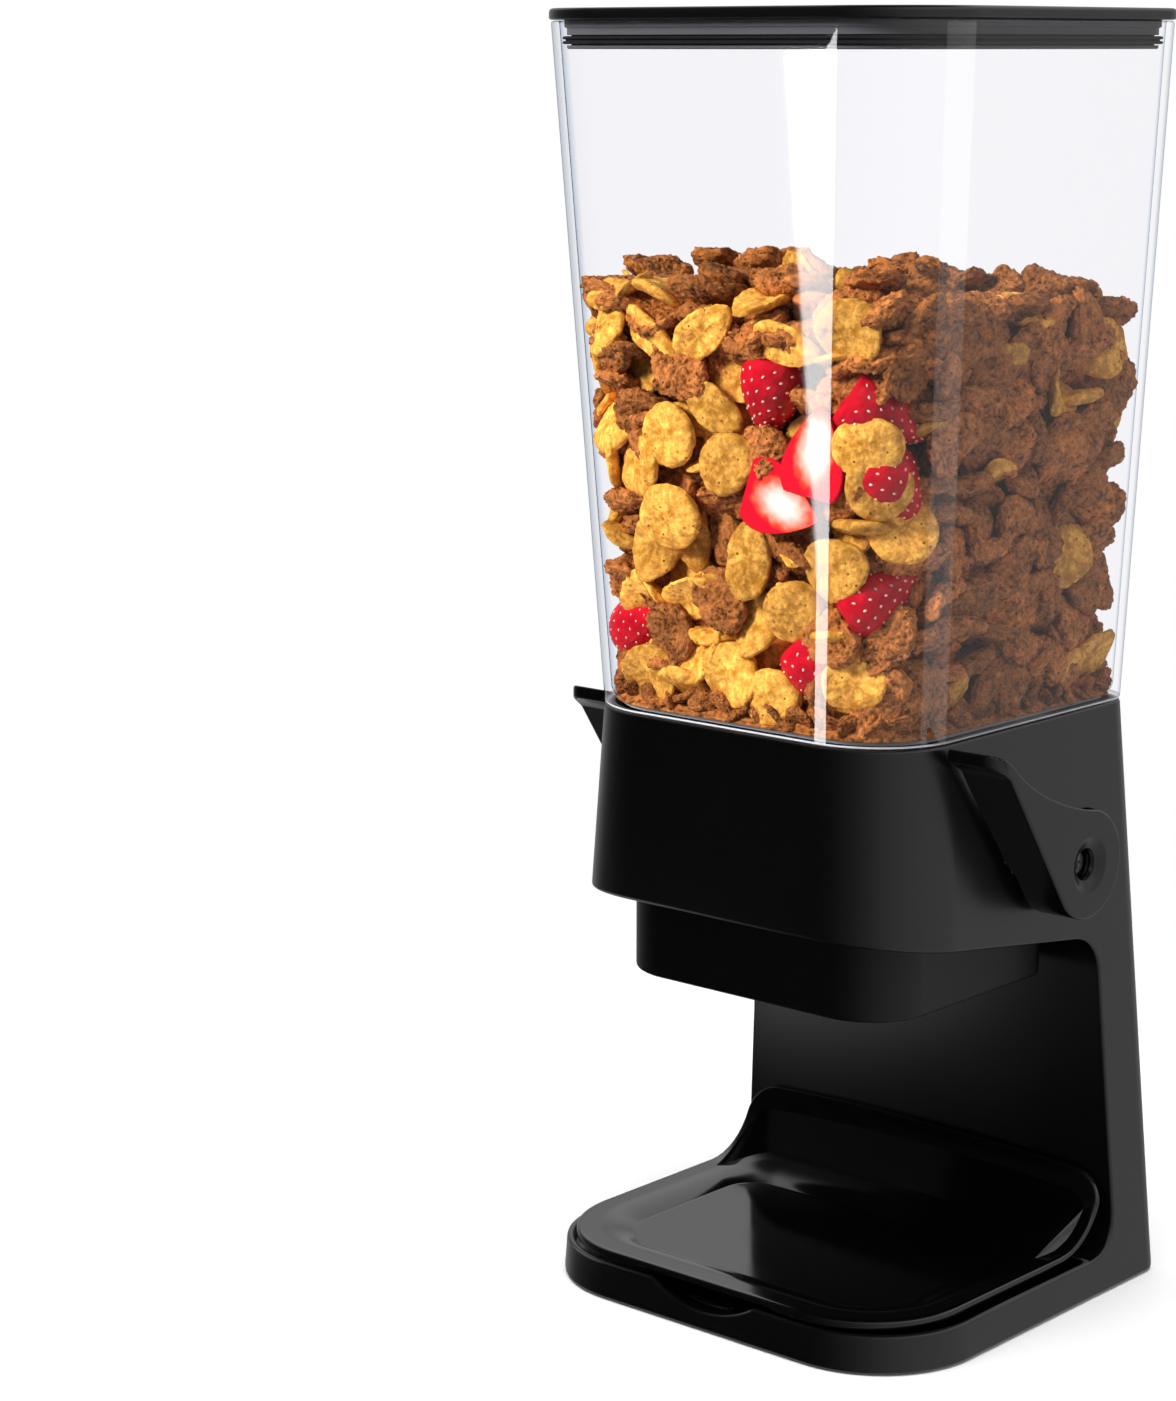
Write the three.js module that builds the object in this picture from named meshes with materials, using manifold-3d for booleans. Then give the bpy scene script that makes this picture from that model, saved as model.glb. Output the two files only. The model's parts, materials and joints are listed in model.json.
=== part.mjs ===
// Countertop cereal dispenser, in millimetres, +Z up, front towards -Y.
// A one-piece C-shaped stand holds a lift-off clear hopper over a bowl space. Two side levers turn one
// cross shaft, and the shaft carries a flap that closes the funnel's throat inside the chute.
import * as THREE from "three";
import { mergeVertices } from "three/addons/utils/BufferGeometryUtils.js";
import Module from "manifold-3d";

const wasm = await Module();
wasm.setup();

// ---- Overall sizes ------------------------------------------------------------------------------
const TOTAL_HEIGHT = 400;
const BASE_WIDTH = 152;
const BASE_FRONT = -70;
const BASE_REAR = 73.5;
const COLLAR_TOP = 188;
const COLLAR_WIDTH = 126.6;
const COLLAR_FRONT = -60.8;
const COLLAR_REAR = 66;
const HOPPER_TOP_WIDTH = 151;
const HOPPER_TOP_FRONT = -73;
const HOPPER_TOP_REAR = 67.5;

// ---- Walls and fits -----------------------------------------------------------------------------
const FIT = 0.3;
const STAND_WALL = 2.6;
const HOPPER_WALL = 2.5;
const FUNNEL_WALL = 2.2;
const CHUTE_WALL = 2.4;

// ---- Stand --------------------------------------------------------------------------------------
const SHELL_BOTTOM = 0.5;
const BASE_WALL_TOP = 12.5;
const DECK_TOP = 8;
const DECK_THICKNESS = 2.4;
const WELL_REAR = 33;
const COLUMN_FACE_FOOT = 47;
const COLUMN_LEAN = 0.05;
const BOWL_FILLET = 14;
const COLLAR_HEIGHT = 58;
const COLLAR_EDGE_SLOPE = 0.147;
const LEDGE_HEIGHT = 4;
const LEDGE_DEPTH = 5;
const NOTCH_HALF = 20;
const NOTCH_DEPTH = 6;

// ---- Tray ---------------------------------------------------------------------------------------
const TRAY_INSET = 3.4;
const TRAY_TOP = 16;
const TRAY_SHEET = 2;
const TRAY_BACK_TOP = 40.5;
const TRAY_SWEEP_RADIUS = 21.6;
const TRAY_RECESS_FLOOR = 10.4;
const TRAY_RECESS_SLOPE = 5;

// ---- Chute, funnel and flap ---------------------------------------------------------------------
const CHUTE_INSET = 9.6;
const CHUTE_DROP = 27.4;
const CHUTE_BACK_GAP = 5.8;
const CHUTE_FRONT_RADIUS = 20.7;
const CHUTE_REAR_RADIUS = 7.7;
const FLANGE_THICKNESS = 2.2;
const THROAT_HEIGHT = 8.4;
const FLAP_THICKNESS = 2.4;
const SEAL_THICKNESS = 1;
const SWING_GAP = 1.3;

// ---- Lever and shaft ----------------------------------------------------------------------------
const PIVOT_Y = 11.5;
const PIVOT_DROP = 41.2;
const SHAFT_RADIUS = 6;
const SHAFT_FLAT = 4.6;
const FLAP_HUB_WALL = 2.7;
const LEVER_WIDTH = 18;
const LEVER_STANDOFF = 3.4;
const LEVER_HUB_LENGTH = 14.5;
const LEVER_GAP = 1.8;
const LEVER_WALL = 3.6;
const BOSS_RADIUS = 16.8;
const LEVER_HOLE_RADIUS = 4.3;
const LEVER_HOLE_DEPTH = 6.5;
const DISH_RADIUS = 8.7;
const DISH_DEPTH = 2;
const TAB_REACH = 50.1;
const TAB_RISE = 41.4;
const TAB_THICKNESS = 4;

// ---- Hopper and lid -----------------------------------------------------------------------------
const SPIGOT_DEPTH = 7;
const SPIGOT_GAP = 0.7;
const LID_THICKNESS = 3.4;
const LID_PANEL_DEPTH = 1.2;
const SKIRT_DEPTH = 12;
const SKIRT_CLEARANCE = 1.7;
const SKIRT_WALL = 2.2;
const GASKET_RISE = 1.4;
const GASKET_HEIGHT = 2.4;
const GASKET_DEPTH = 2.2;

// ---- Small hardware -----------------------------------------------------------------------------
const FOOT_RADIUS = 8;
const FOOT_PLUG_RADIUS = 3;
const BASE_PLATE_BOTTOM = 1.2;
const BASE_PLATE_THICKNESS = 2.2;
const SCREW_RADIUS = 1.5;
const SCREW_HEAD_RADIUS = 3;
const SCREW_HEAD_HEIGHT = 0.9;
const BUSH_WALL = 1.7;
const BUSH_FLANGE = 1.8;
const SPRING_GAP = 1.5;
const SPRING_WIRE = 0.7;
const SPRING_TURNS = 3.25;

// ---- Solids from three.js shapes, combined with manifold ------------------------------------------
function solid(geometry) {
  const bare = geometry.clone();
  bare.deleteAttribute("normal");
  bare.deleteAttribute("uv");
  const welded = mergeVertices(bare, 1e-4);
  return new wasm.Manifold(new wasm.Mesh({
    numProp: 3,
    vertProperties: new Float32Array(welded.attributes.position.array),
    triVerts: new Uint32Array(welded.index.array),
  }));
}

function piece(name, body, look) {
  const { vertProperties, triVerts } = body.getMesh();
  const geometry = new THREE.BufferGeometry();
  geometry.setAttribute("position", new THREE.BufferAttribute(new Float32Array(vertProperties), 3));
  geometry.setIndex(new THREE.BufferAttribute(new Uint32Array(triVerts), 1));
  geometry.computeVertexNormals();
  const mesh = new THREE.Mesh(geometry, new THREE.MeshStandardMaterial(look));
  mesh.name = name;
  return mesh;
}

// A footprint is a rectangle about x = 0 with one radius for its front corners and one for its rear.
const inset = (print, by) => ({
  half: print.half - by,
  front: print.front + by,
  rear: print.rear - by,
  frontRadius: Math.max(print.frontRadius - by, 1),
  rearRadius: Math.max(print.rearRadius - by, 1),
});

const blend = (low, high, t) => Object.fromEntries(
  Object.keys(low).map((key) => [key, low[key] + (high[key] - low[key]) * t]));

function outline({ half, front, rear, frontRadius, rearRadius }, steps = 6) {
  const corners = [
    [half - frontRadius, front + frontRadius, frontRadius, -90],
    [half - rearRadius, rear - rearRadius, rearRadius, 0],
    [rearRadius - half, rear - rearRadius, rearRadius, 90],
    [frontRadius - half, front + frontRadius, frontRadius, 180],
  ];
  return corners.flatMap(([x, y, radius, start]) => Array.from({ length: steps + 1 }, (_, i) => {
    const angle = THREE.MathUtils.degToRad(start + (90 * i) / steps);
    return new THREE.Vector2(x + radius * Math.cos(angle), y + radius * Math.sin(angle));
  }));
}

// A block between two footprints, the second directly above the first.
function block(low, high, bottom, top, steps) {
  const lower = outline(low, steps);
  const upper = outline(high, steps);
  const geometry = new THREE.ExtrudeGeometry(new THREE.Shape(lower), { depth: top - bottom, bevelEnabled: false });
  const at = geometry.attributes.position;
  const nearest = (x, y) => lower.reduce(
    (best, point, i) => (Math.hypot(point.x - x, point.y - y) < best.gap
      ? { i, gap: Math.hypot(point.x - x, point.y - y) } : best), { i: 0, gap: Infinity }).i;
  for (let i = 0; i < at.count; i += 1) {
    if (at.getZ(i) < (top - bottom) / 2) continue;
    const target = upper[nearest(at.getX(i), at.getY(i))];
    at.setXY(i, target.x, target.y);
  }
  geometry.translate(0, 0, bottom);
  return solid(geometry);
}

// A side profile, drawn as (y, z), carried along X.
const SIDE_TO_WORLD = new THREE.Matrix4().makeBasis(
  new THREE.Vector3(0, 1, 0), new THREE.Vector3(0, 0, 1), new THREE.Vector3(1, 0, 0));

function across(profile, from, to, curveSegments = 8) {
  const geometry = new THREE.ExtrudeGeometry(profile,
    { depth: Math.abs(to - from), bevelEnabled: false, curveSegments });
  geometry.applyMatrix4(SIDE_TO_WORLD);
  geometry.translate(Math.min(from, to), 0, 0);
  return solid(geometry);
}

const polygon = (...points) => new THREE.Shape(points.map(([x, y]) => new THREE.Vector2(x, y)));

function box(x0, x1, y0, y1, z0, z1) {
  const geometry = new THREE.BoxGeometry(Math.abs(x1 - x0), y1 - y0, z1 - z0);
  geometry.translate((x0 + x1) / 2, (y0 + y1) / 2, (z0 + z1) / 2);
  return solid(geometry);
}

function rodZ(radius, x, y, bottom, top, sides = 16) {
  const geometry = new THREE.CylinderGeometry(radius, radius, top - bottom, sides);
  geometry.rotateX(Math.PI / 2);
  geometry.translate(x, y, (bottom + top) / 2);
  return solid(geometry);
}

function rodX(radius, from, to, sides = 24, y = PIVOT_Y, z = PIVOT_Z) {
  const geometry = new THREE.CylinderGeometry(radius, radius, Math.abs(to - from), sides);
  geometry.rotateZ(Math.PI / 2);
  geometry.translate((from + to) / 2, y, z);
  return solid(geometry);
}

const ringX = (outer, inner, from, to, sides) =>
  rodX(outer, from, to, sides).subtract(rodX(inner, from - (to > from ? 1 : -1), to + (to > from ? 1 : -1), sides));

// A screw standing on its head, with a slot sunk in the head; the head's outer face is at `head`.
function screwZ(x, y, head, tip, radius = SCREW_RADIUS, headRadius = SCREW_HEAD_RADIUS) {
  const way = Math.sign(tip - head);
  const seat = head + way * SCREW_HEAD_HEIGHT;
  const slot = head + way * SCREW_HEAD_HEIGHT * 0.55;
  const span = (a, b) => [Math.min(a, b), Math.max(a, b)];
  return rodZ(headRadius, x, y, ...span(head, seat))
    .add(rodZ(radius, x, y, ...span(seat - way * 0.2, tip), 12))
    .subtract(box(x - headRadius, x + headRadius, y - 0.45, y + 0.45, ...span(head - way, slot)));
}

// ---- Sections of the two tapered bodies -------------------------------------------------------------
const BASE_PRINT = { half: BASE_WIDTH / 2, front: BASE_FRONT, rear: BASE_REAR, frontRadius: 36, rearRadius: 9 };
const COLLAR_PRINT = { half: COLLAR_WIDTH / 2, front: COLLAR_FRONT, rear: COLLAR_REAR, frontRadius: 29, rearRadius: 12 };
const RIM_PRINT = { half: HOPPER_TOP_WIDTH / 2, front: HOPPER_TOP_FRONT, rear: HOPPER_TOP_REAR,
  frontRadius: 31, rearRadius: 15 };
const RIM_TOP = TOTAL_HEIGHT - LID_THICKNESS - FIT;
const HOPPER_FOOT = COLLAR_TOP + FIT;
const standPrint = (z) => blend(BASE_PRINT, COLLAR_PRINT, z / COLLAR_TOP);
const hopperPrint = (z) => blend(COLLAR_PRINT, RIM_PRINT, (z - HOPPER_FOOT) / (RIM_TOP - HOPPER_FOOT));
const standBlock = (bottom, top, by = 0) => block(inset(standPrint(bottom), by), inset(standPrint(top), by), bottom, top);
const hopperBlock = (bottom, top, by = 0) =>
  block(inset(hopperPrint(bottom), by), inset(hopperPrint(top), by), bottom, top);
const columnFace = (z) => COLUMN_FACE_FOOT - COLUMN_LEAN * z;
const COLLAR_EDGE_FRONT = COLLAR_TOP - COLLAR_HEIGHT;
const collarEdge = (y) => COLLAR_EDGE_FRONT - COLLAR_EDGE_SLOPE * (y - COLLAR_FRONT);
const BEYOND = 60;

// ---- Places that follow from the sizes ------------------------------------------------------------------
const SPIGOT_BOTTOM = COLLAR_TOP - SPIGOT_DEPTH;
const LEDGE_TOP = SPIGOT_BOTTOM - 2 * FIT - FLANGE_THICKNESS;
const SKIRT_BOTTOM = TOTAL_HEIGHT - SKIRT_DEPTH;
const GASKET_BOTTOM = SKIRT_BOTTOM + GASKET_RISE;

const PIVOT_Z = COLLAR_TOP - PIVOT_DROP;
const FLAP_HUB_RADIUS = SHAFT_RADIUS + FIT + FLAP_HUB_WALL;
const BUSH_OUTER = SHAFT_RADIUS + FIT + BUSH_WALL;
const COLLAR_SIDE = standPrint(PIVOT_Z).half;
const LEVER_HUB_FACE = COLLAR_SIDE + LEVER_STANDOFF;
const LEVER_OUTER = LEVER_HUB_FACE + LEVER_HUB_LENGTH;
const LEVER_INNER = LEVER_OUTER - LEVER_WIDTH;
const BUSH_INNER_FACE = standPrint(PIVOT_Z + BUSH_OUTER + 2.5).half - STAND_WALL - FIT - BUSH_FLANGE;
const TAB_FRONT = PIVOT_Y - TAB_REACH;
const TAB_TOP = PIVOT_Z + TAB_RISE;

const CHUTE_PRINT = { half: COLLAR_PRINT.half - CHUTE_INSET, front: COLLAR_FRONT + CHUTE_INSET,
  rear: columnFace(COLLAR_EDGE_FRONT - CHUTE_DROP) - CHUTE_BACK_GAP,
  frontRadius: CHUTE_FRONT_RADIUS, rearRadius: CHUTE_REAR_RADIUS };
const CHUTE_BOTTOM = COLLAR_EDGE_FRONT - CHUTE_DROP;
const CHUTE_INSIDE = inset(CHUTE_PRINT, CHUTE_WALL);
const FLAP_TOP = PIVOT_Z + FLAP_HUB_RADIUS / 2 - 1.3;
const THROAT_BOTTOM = FLAP_TOP + SEAL_THICKNESS + 2 * FIT;
const THROAT_TOP = THROAT_BOTTOM + THROAT_HEIGHT;
const FLANGE_SEAM = THROAT_TOP + FLANGE_THICKNESS + 1.8;
const THROAT = { ...inset(CHUTE_INSIDE, FUNNEL_WALL + 2), rear: PIVOT_Y - FLAP_HUB_RADIUS - FUNNEL_WALL - SWING_GAP,
  frontRadius: CHUTE_FRONT_RADIUS - 3.5, rearRadius: 4 };
const FLAP_PRINT = { ...inset(CHUTE_INSIDE, SWING_GAP), rear: PIVOT_Y, frontRadius: CHUTE_FRONT_RADIUS - 1, rearRadius: 1 };
const FLANGE = { ...inset(standPrint(LEDGE_TOP), LEDGE_DEPTH + FIT + 0.2), rear: CHUTE_PRINT.rear + 5,
  frontRadius: 24, rearRadius: 10 };

const SCREW_SIDE = (FLANGE.half + CHUTE_PRINT.half) / 2;
const corners = (half, front, rear) => ({
  front_left: [-half, front], front_right: [half, front], rear_left: [-half, rear], rear_right: [half, rear] });
const CHUTE_SCREWS = corners(SCREW_SIDE, PIVOT_Y - 31, PIVOT_Y + 17);
const FOOT_SPOTS = corners(BASE_WIDTH / 2 - 22, BASE_FRONT + 16, BASE_REAR - 12);
const BASE_SCREWS = corners(BASE_WIDTH / 2 - 7, BASE_FRONT + 40, BASE_REAR - 17);
const POST_RADIUS = 5;
const POST_HEIGHT = { front: DECK_TOP - 2.2, rear: 14 };

// ---- Colours ------------------------------------------------------------------------------------
const SATIN_BLACK = { color: 0x1b1b1d, roughness: 0.42, metalness: 0 };
const GLOSS_BLACK = { color: 0x0d0d0f, roughness: 0.12, metalness: 0 };
const CLEAR = { color: 0xeef1f4, roughness: 0.05, metalness: 0, transparent: true, opacity: 0.3 };
const RUBBER = { color: 0x222224, roughness: 0.85, metalness: 0 };
const STEEL = { color: 0x9a9c9f, roughness: 0.3, metalness: 1 };
const BUSH_PLASTIC = { color: 0xd9d9d4, roughness: 0.5, metalness: 0 };

// ---- Stand: base, column and collar in one moulding ---------------------------------------------------
function bowlSpace() {
  const lowerCorner = columnFace(BASE_WALL_TOP + BOWL_FILLET);
  const upperY = columnFace(CHUTE_BOTTOM);
  const shape = new THREE.Shape();
  shape.moveTo(BASE_FRONT - BEYOND, BASE_WALL_TOP);
  shape.lineTo(lowerCorner - BOWL_FILLET, BASE_WALL_TOP);
  shape.quadraticCurveTo(lowerCorner, BASE_WALL_TOP, lowerCorner, BASE_WALL_TOP + BOWL_FILLET);
  shape.lineTo(upperY, collarEdge(upperY - BOWL_FILLET) - BOWL_FILLET);
  shape.quadraticCurveTo(upperY, collarEdge(upperY - BOWL_FILLET * 0.4),
    upperY - BOWL_FILLET, collarEdge(upperY - BOWL_FILLET));
  shape.lineTo(COLLAR_FRONT - 3, COLLAR_EDGE_FRONT);
  shape.lineTo(BASE_FRONT - BEYOND, COLLAR_EDGE_FRONT);
  return across(shape, -BASE_WIDTH, BASE_WIDTH);
}

function collarHollow() {
  const bend = columnFace(CHUTE_BOTTOM) - BOWL_FILLET;
  const floor = across(polygon(
    [COLLAR_FRONT - BEYOND, COLLAR_EDGE_FRONT + STAND_WALL], [COLLAR_FRONT, COLLAR_EDGE_FRONT + STAND_WALL],
    [bend, collarEdge(bend) + STAND_WALL], [BASE_REAR + BEYOND, collarEdge(bend) + STAND_WALL],
    [BASE_REAR + BEYOND, COLLAR_TOP + BEYOND], [COLLAR_FRONT - BEYOND, COLLAR_TOP + BEYOND]),
  -BASE_WIDTH, BASE_WIDTH);
  const below = standBlock(COLLAR_TOP / 2, LEDGE_TOP - LEDGE_HEIGHT, STAND_WALL);
  const ledge = standBlock(LEDGE_TOP - LEDGE_HEIGHT - 1, LEDGE_TOP + 1, LEDGE_DEPTH);
  const above = standBlock(LEDGE_TOP, COLLAR_TOP + 2, STAND_WALL);
  return below.add(ledge).add(above).intersect(floor);
}

function columnHollow() {
  const top = collarEdge(columnFace(CHUTE_BOTTOM)) - STAND_WALL;
  const ceiling = DECK_TOP - DECK_THICKNESS;
  const front = (z) => columnFace(z) + STAND_WALL;
  return standBlock(SHELL_BOTTOM - 1, top, STAND_WALL).intersect(across(polygon(
    [BASE_FRONT - BEYOND, -BEYOND], [BASE_REAR + BEYOND, -BEYOND], [BASE_REAR + BEYOND, top],
    [front(top), top], [front(BOWL_FILLET * 2), BOWL_FILLET * 2],
    [front(BASE_WALL_TOP) - 5, BASE_WALL_TOP + STAND_WALL], [WELL_REAR + STAND_WALL + 1, BASE_WALL_TOP - STAND_WALL],
    [WELL_REAR + STAND_WALL, ceiling],
    [BASE_FRONT - BEYOND, ceiling]), -BASE_WIDTH, BASE_WIDTH));
}

function deckWell() {
  const print = { ...inset(standPrint(DECK_TOP), STAND_WALL), rear: WELL_REAR, rearRadius: 6 };
  return block(print, print, DECK_TOP, BASE_WALL_TOP + 1);
}

function fingerNotch() {
  const radius = (NOTCH_HALF ** 2 + NOTCH_DEPTH ** 2) / (2 * NOTCH_DEPTH);
  const geometry = new THREE.CylinderGeometry(radius, radius, 2 * STAND_WALL + 4, 96);
  geometry.translate(0, BASE_FRONT, BASE_WALL_TOP - NOTCH_DEPTH + radius);
  return solid(geometry).intersect(box(-NOTCH_HALF - 1, NOTCH_HALF + 1, BASE_FRONT - 5,
    BASE_FRONT + 6, 0, BASE_WALL_TOP + 1));
}

const screwTip = (where) => (where.startsWith("front") ? POST_HEIGHT.front : POST_HEIGHT.rear);

function stand() {
  const chuteHole = inset(CHUTE_PRINT, -FIT);
  let body = standBlock(SHELL_BOTTOM, COLLAR_TOP)
    .subtract(bowlSpace())
    .subtract(collarHollow())
    .subtract(columnHollow())
    .subtract(deckWell())
    .subtract(fingerNotch())
    .subtract(block(chuteHole, chuteHole, CHUTE_BOTTOM - 1, COLLAR_EDGE_FRONT + 8))
    .subtract(rodX(BUSH_OUTER + FIT, -BASE_WIDTH, BASE_WIDTH));
  const postFoot = BASE_PLATE_BOTTOM + BASE_PLATE_THICKNESS + FIT;
  for (const [where, [x, y]] of Object.entries(BASE_SCREWS)) {
    const tip = screwTip(where);
    const post = rodZ(POST_RADIUS, x, y, postFoot, tip + 1.8).intersect(standBlock(SHELL_BOTTOM, COLLAR_TOP, 1));
    body = body.add(post).subtract(rodZ(SCREW_RADIUS + FIT, x, y, 0, tip + 0.8, 14));
  }
  return piece("stand", body, SATIN_BLACK);
}

// ---- Underside ----------------------------------------------------------------------------------
function basePlate() {
  const print = inset(standPrint(BASE_PLATE_BOTTOM), STAND_WALL + 0.5);
  const top = BASE_PLATE_BOTTOM + BASE_PLATE_THICKNESS;
  let body = block(print, print, BASE_PLATE_BOTTOM, top);
  for (const [x, y] of Object.values(BASE_SCREWS)) {
    body = body.subtract(rodZ(SCREW_HEAD_RADIUS + FIT, x, y, 0, BASE_PLATE_BOTTOM + SCREW_HEAD_HEIGHT + FIT + 0.1))
      .subtract(rodZ(SCREW_RADIUS + FIT, x, y, 0, top + 1, 14));
  }
  for (const [x, y] of Object.values(FOOT_SPOTS)) {
    body = body.subtract(rodZ(FOOT_PLUG_RADIUS + FIT, x, y, 0, top + 1));
  }
  return piece("base_plate", body, SATIN_BLACK);
}

function feet() {
  const padTop = BASE_PLATE_BOTTOM - FIT;
  const plugTop = BASE_PLATE_BOTTOM + BASE_PLATE_THICKNESS + 1;
  return Object.entries(FOOT_SPOTS).map(([where, [x, y]]) => {
    const profile = [[0, 0], [FOOT_RADIUS - 0.3, 0], [FOOT_RADIUS, 0.3], [FOOT_RADIUS, padTop],
      [FOOT_PLUG_RADIUS, padTop], [FOOT_PLUG_RADIUS, plugTop], [0, plugTop]];
    const geometry = new THREE.LatheGeometry(profile.map(([r, z]) => new THREE.Vector2(r, z)), 16);
    geometry.rotateX(Math.PI / 2);
    geometry.translate(x, y, 0);
    return piece(`foot_${where}`, solid(geometry), RUBBER);
  });
}

function baseScrews() {
  return Object.entries(BASE_SCREWS).map(([where, [x, y]]) =>
    piece(`base_screw_${where}`, screwZ(x, y, BASE_PLATE_BOTTOM + 0.1, screwTip(where)), STEEL));
}

// ---- Drip tray: flat rim, shallow recess and a back that sweeps up the column ---------------------------
function tray() {
  const back = columnFace(TRAY_BACK_TOP) - FIT;
  const bend = back - TRAY_SHEET - TRAY_SWEEP_RADIUS;
  const centreZ = TRAY_TOP + TRAY_SWEEP_RADIUS;
  const profile = new THREE.Shape();
  profile.moveTo(BASE_FRONT - BEYOND, TRAY_TOP - TRAY_SHEET);
  profile.lineTo(bend, TRAY_TOP - TRAY_SHEET);
  profile.absarc(bend, centreZ, TRAY_SWEEP_RADIUS + TRAY_SHEET, -Math.PI / 2, 0, false);
  profile.lineTo(back, TRAY_BACK_TOP + BEYOND);
  profile.lineTo(back - TRAY_SHEET, TRAY_BACK_TOP + BEYOND);
  profile.absarc(bend, centreZ, TRAY_SWEEP_RADIUS, 0, -Math.PI / 2, true);
  profile.lineTo(BASE_FRONT - BEYOND, TRAY_TOP);
  const rim = { ...standPrint(TRAY_TOP), rear: back + 1, rearRadius: 1 };
  const edge = { ...inset(rim, 0.6), half: BASE_WIDTH / 2 - TRAY_INSET - 1.2, rear: back + 1 };
  const plan = block(edge, edge, DECK_TOP, TRAY_BACK_TOP + 5, 9);
  const shoulder = TRAY_BACK_TOP - 9;
  const frontView = new THREE.Shape();
  frontView.moveTo(-edge.half, 0);
  frontView.lineTo(edge.half, 0);
  frontView.lineTo(edge.half, shoulder);
  frontView.quadraticCurveTo(edge.half - 1, TRAY_BACK_TOP - 3.5, edge.half - 14, TRAY_BACK_TOP - 2);
  frontView.quadraticCurveTo(0, TRAY_BACK_TOP + 2, 14 - edge.half, TRAY_BACK_TOP - 2);
  frontView.quadraticCurveTo(1 - edge.half, TRAY_BACK_TOP - 3.5, -edge.half, shoulder);
  const mask = new THREE.ExtrudeGeometry(frontView, { depth: 4 * BEYOND, bevelEnabled: false, curveSegments: 6 });
  mask.rotateX(Math.PI / 2);
  mask.translate(0, 2 * BEYOND, 0);
  const recess = { half: edge.half - 10.2, front: edge.front + 11.9, rear: WELL_REAR - TRAY_SHEET - FIT,
    frontRadius: 24, rearRadius: 14 };
  const wallAt = (z) => TRAY_RECESS_SLOPE * (TRAY_TOP - z) / (TRAY_TOP - TRAY_RECESS_FLOOR);
  const bowl = (bottom, by) => block(inset(recess, wallAt(bottom) - by),
    inset(recess, wallAt(TRAY_TOP + 7) - by), bottom, TRAY_TOP + 7, 7);
  const underTop = new THREE.Shape();
  underTop.moveTo(BASE_FRONT - BEYOND, 0);
  underTop.lineTo(back - TRAY_SHEET, 0);
  underTop.absarc(bend, centreZ, TRAY_SWEEP_RADIUS, 0, -Math.PI / 2, true);
  underTop.lineTo(BASE_FRONT - BEYOND, TRAY_TOP);
  const basin = bowl(TRAY_RECESS_FLOOR - TRAY_SHEET, TRAY_SHEET + 0.4)
    .intersect(across(underTop, -BASE_WIDTH, BASE_WIDTH, 9));
  const lip = block(edge, edge, TRAY_TOP - 2.9, TRAY_TOP - 1, 9)
    .subtract(block(inset(edge, 1.8), inset(edge, 1.8), TRAY_TOP - 4, TRAY_TOP, 9))
    .subtract(box(-BASE_WIDTH, BASE_WIDTH, bend, BASE_REAR, 0, TRAY_TOP + 9))
    .subtract(box(-26, 26, BASE_FRONT - 5, BASE_FRONT + 20, 0, TRAY_TOP));
  const body = across(profile, -BASE_WIDTH, BASE_WIDTH, 9).intersect(plan).intersect(solid(mask))
    .add(basin)
    .add(lip)
    .subtract(bowl(TRAY_RECESS_FLOOR, 0));
  return piece("tray", body, GLOSS_BLACK);
}

// ---- Chute and funnel, bolted flange to flange ---------------------------------------------------------
function chute() {
  const top = FLANGE_SEAM - FIT;
  let body = block(CHUTE_PRINT, CHUTE_PRINT, CHUTE_BOTTOM, top)
    .add(block(FLANGE, FLANGE, top - FLANGE_THICKNESS, top))
    .subtract(block(CHUTE_INSIDE, CHUTE_INSIDE, CHUTE_BOTTOM - 1, top + 1))
    .subtract(rodX(SHAFT_RADIUS + 2 * FIT, -BASE_WIDTH, BASE_WIDTH));
  for (const [x, y] of Object.values(CHUTE_SCREWS)) body = body.subtract(rodZ(SCREW_RADIUS + FIT, x, y, top - 5, top + 1, 14));
  return piece("chute", body, SATIN_BLACK);
}

function funnel() {
  const plateTop = LEDGE_TOP + FIT + FLANGE_THICKNESS;
  const plate = inset(standPrint(LEDGE_TOP), STAND_WALL + SPIGOT_GAP);
  const mouth = inset(plate, 3.5);
  const grow = (print) => inset(print, -FUNNEL_WALL);
  const seat = FLANGE_SEAM;
  let body = block(grow(THROAT), grow(THROAT), THROAT_BOTTOM, THROAT_TOP + 0.5)
    .add(block(grow(THROAT), inset(plate, 1.4), THROAT_TOP, plateTop - 0.2))
    .add(block(FLANGE, FLANGE, seat, seat + FLANGE_THICKNESS))
    .add(block(plate, plate, LEDGE_TOP + FIT, plateTop))
    .subtract(block(THROAT, THROAT, THROAT_BOTTOM - 1, THROAT_TOP + 0.01))
    .subtract(block(THROAT, mouth, THROAT_TOP, plateTop + 0.01));
  for (const [x, y] of Object.values(CHUTE_SCREWS)) {
    body = body.subtract(rodZ(SCREW_RADIUS + FIT, x, y, seat - 1, seat + FLANGE_THICKNESS + 0.5, 14))
      .subtract(rodZ(SCREW_HEAD_RADIUS + 2 * FIT, x, y, seat + FLANGE_THICKNESS, plateTop - 4));
  }
  return piece("funnel", body, SATIN_BLACK);
}

function chuteScrews() {
  const head = FLANGE_SEAM + FLANGE_THICKNESS + FIT + SCREW_HEAD_HEIGHT;
  return Object.entries(CHUTE_SCREWS).map(([where, [x, y]]) =>
    piece(`chute_screw_${where}`, screwZ(x, y, head, FLANGE_SEAM - 6, 1.2, 2.2), STEEL));
}

// ---- Flap and cross shaft --------------------------------------------------------------------------------
const FLAP_SCREW_SIDE = 22;

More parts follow.
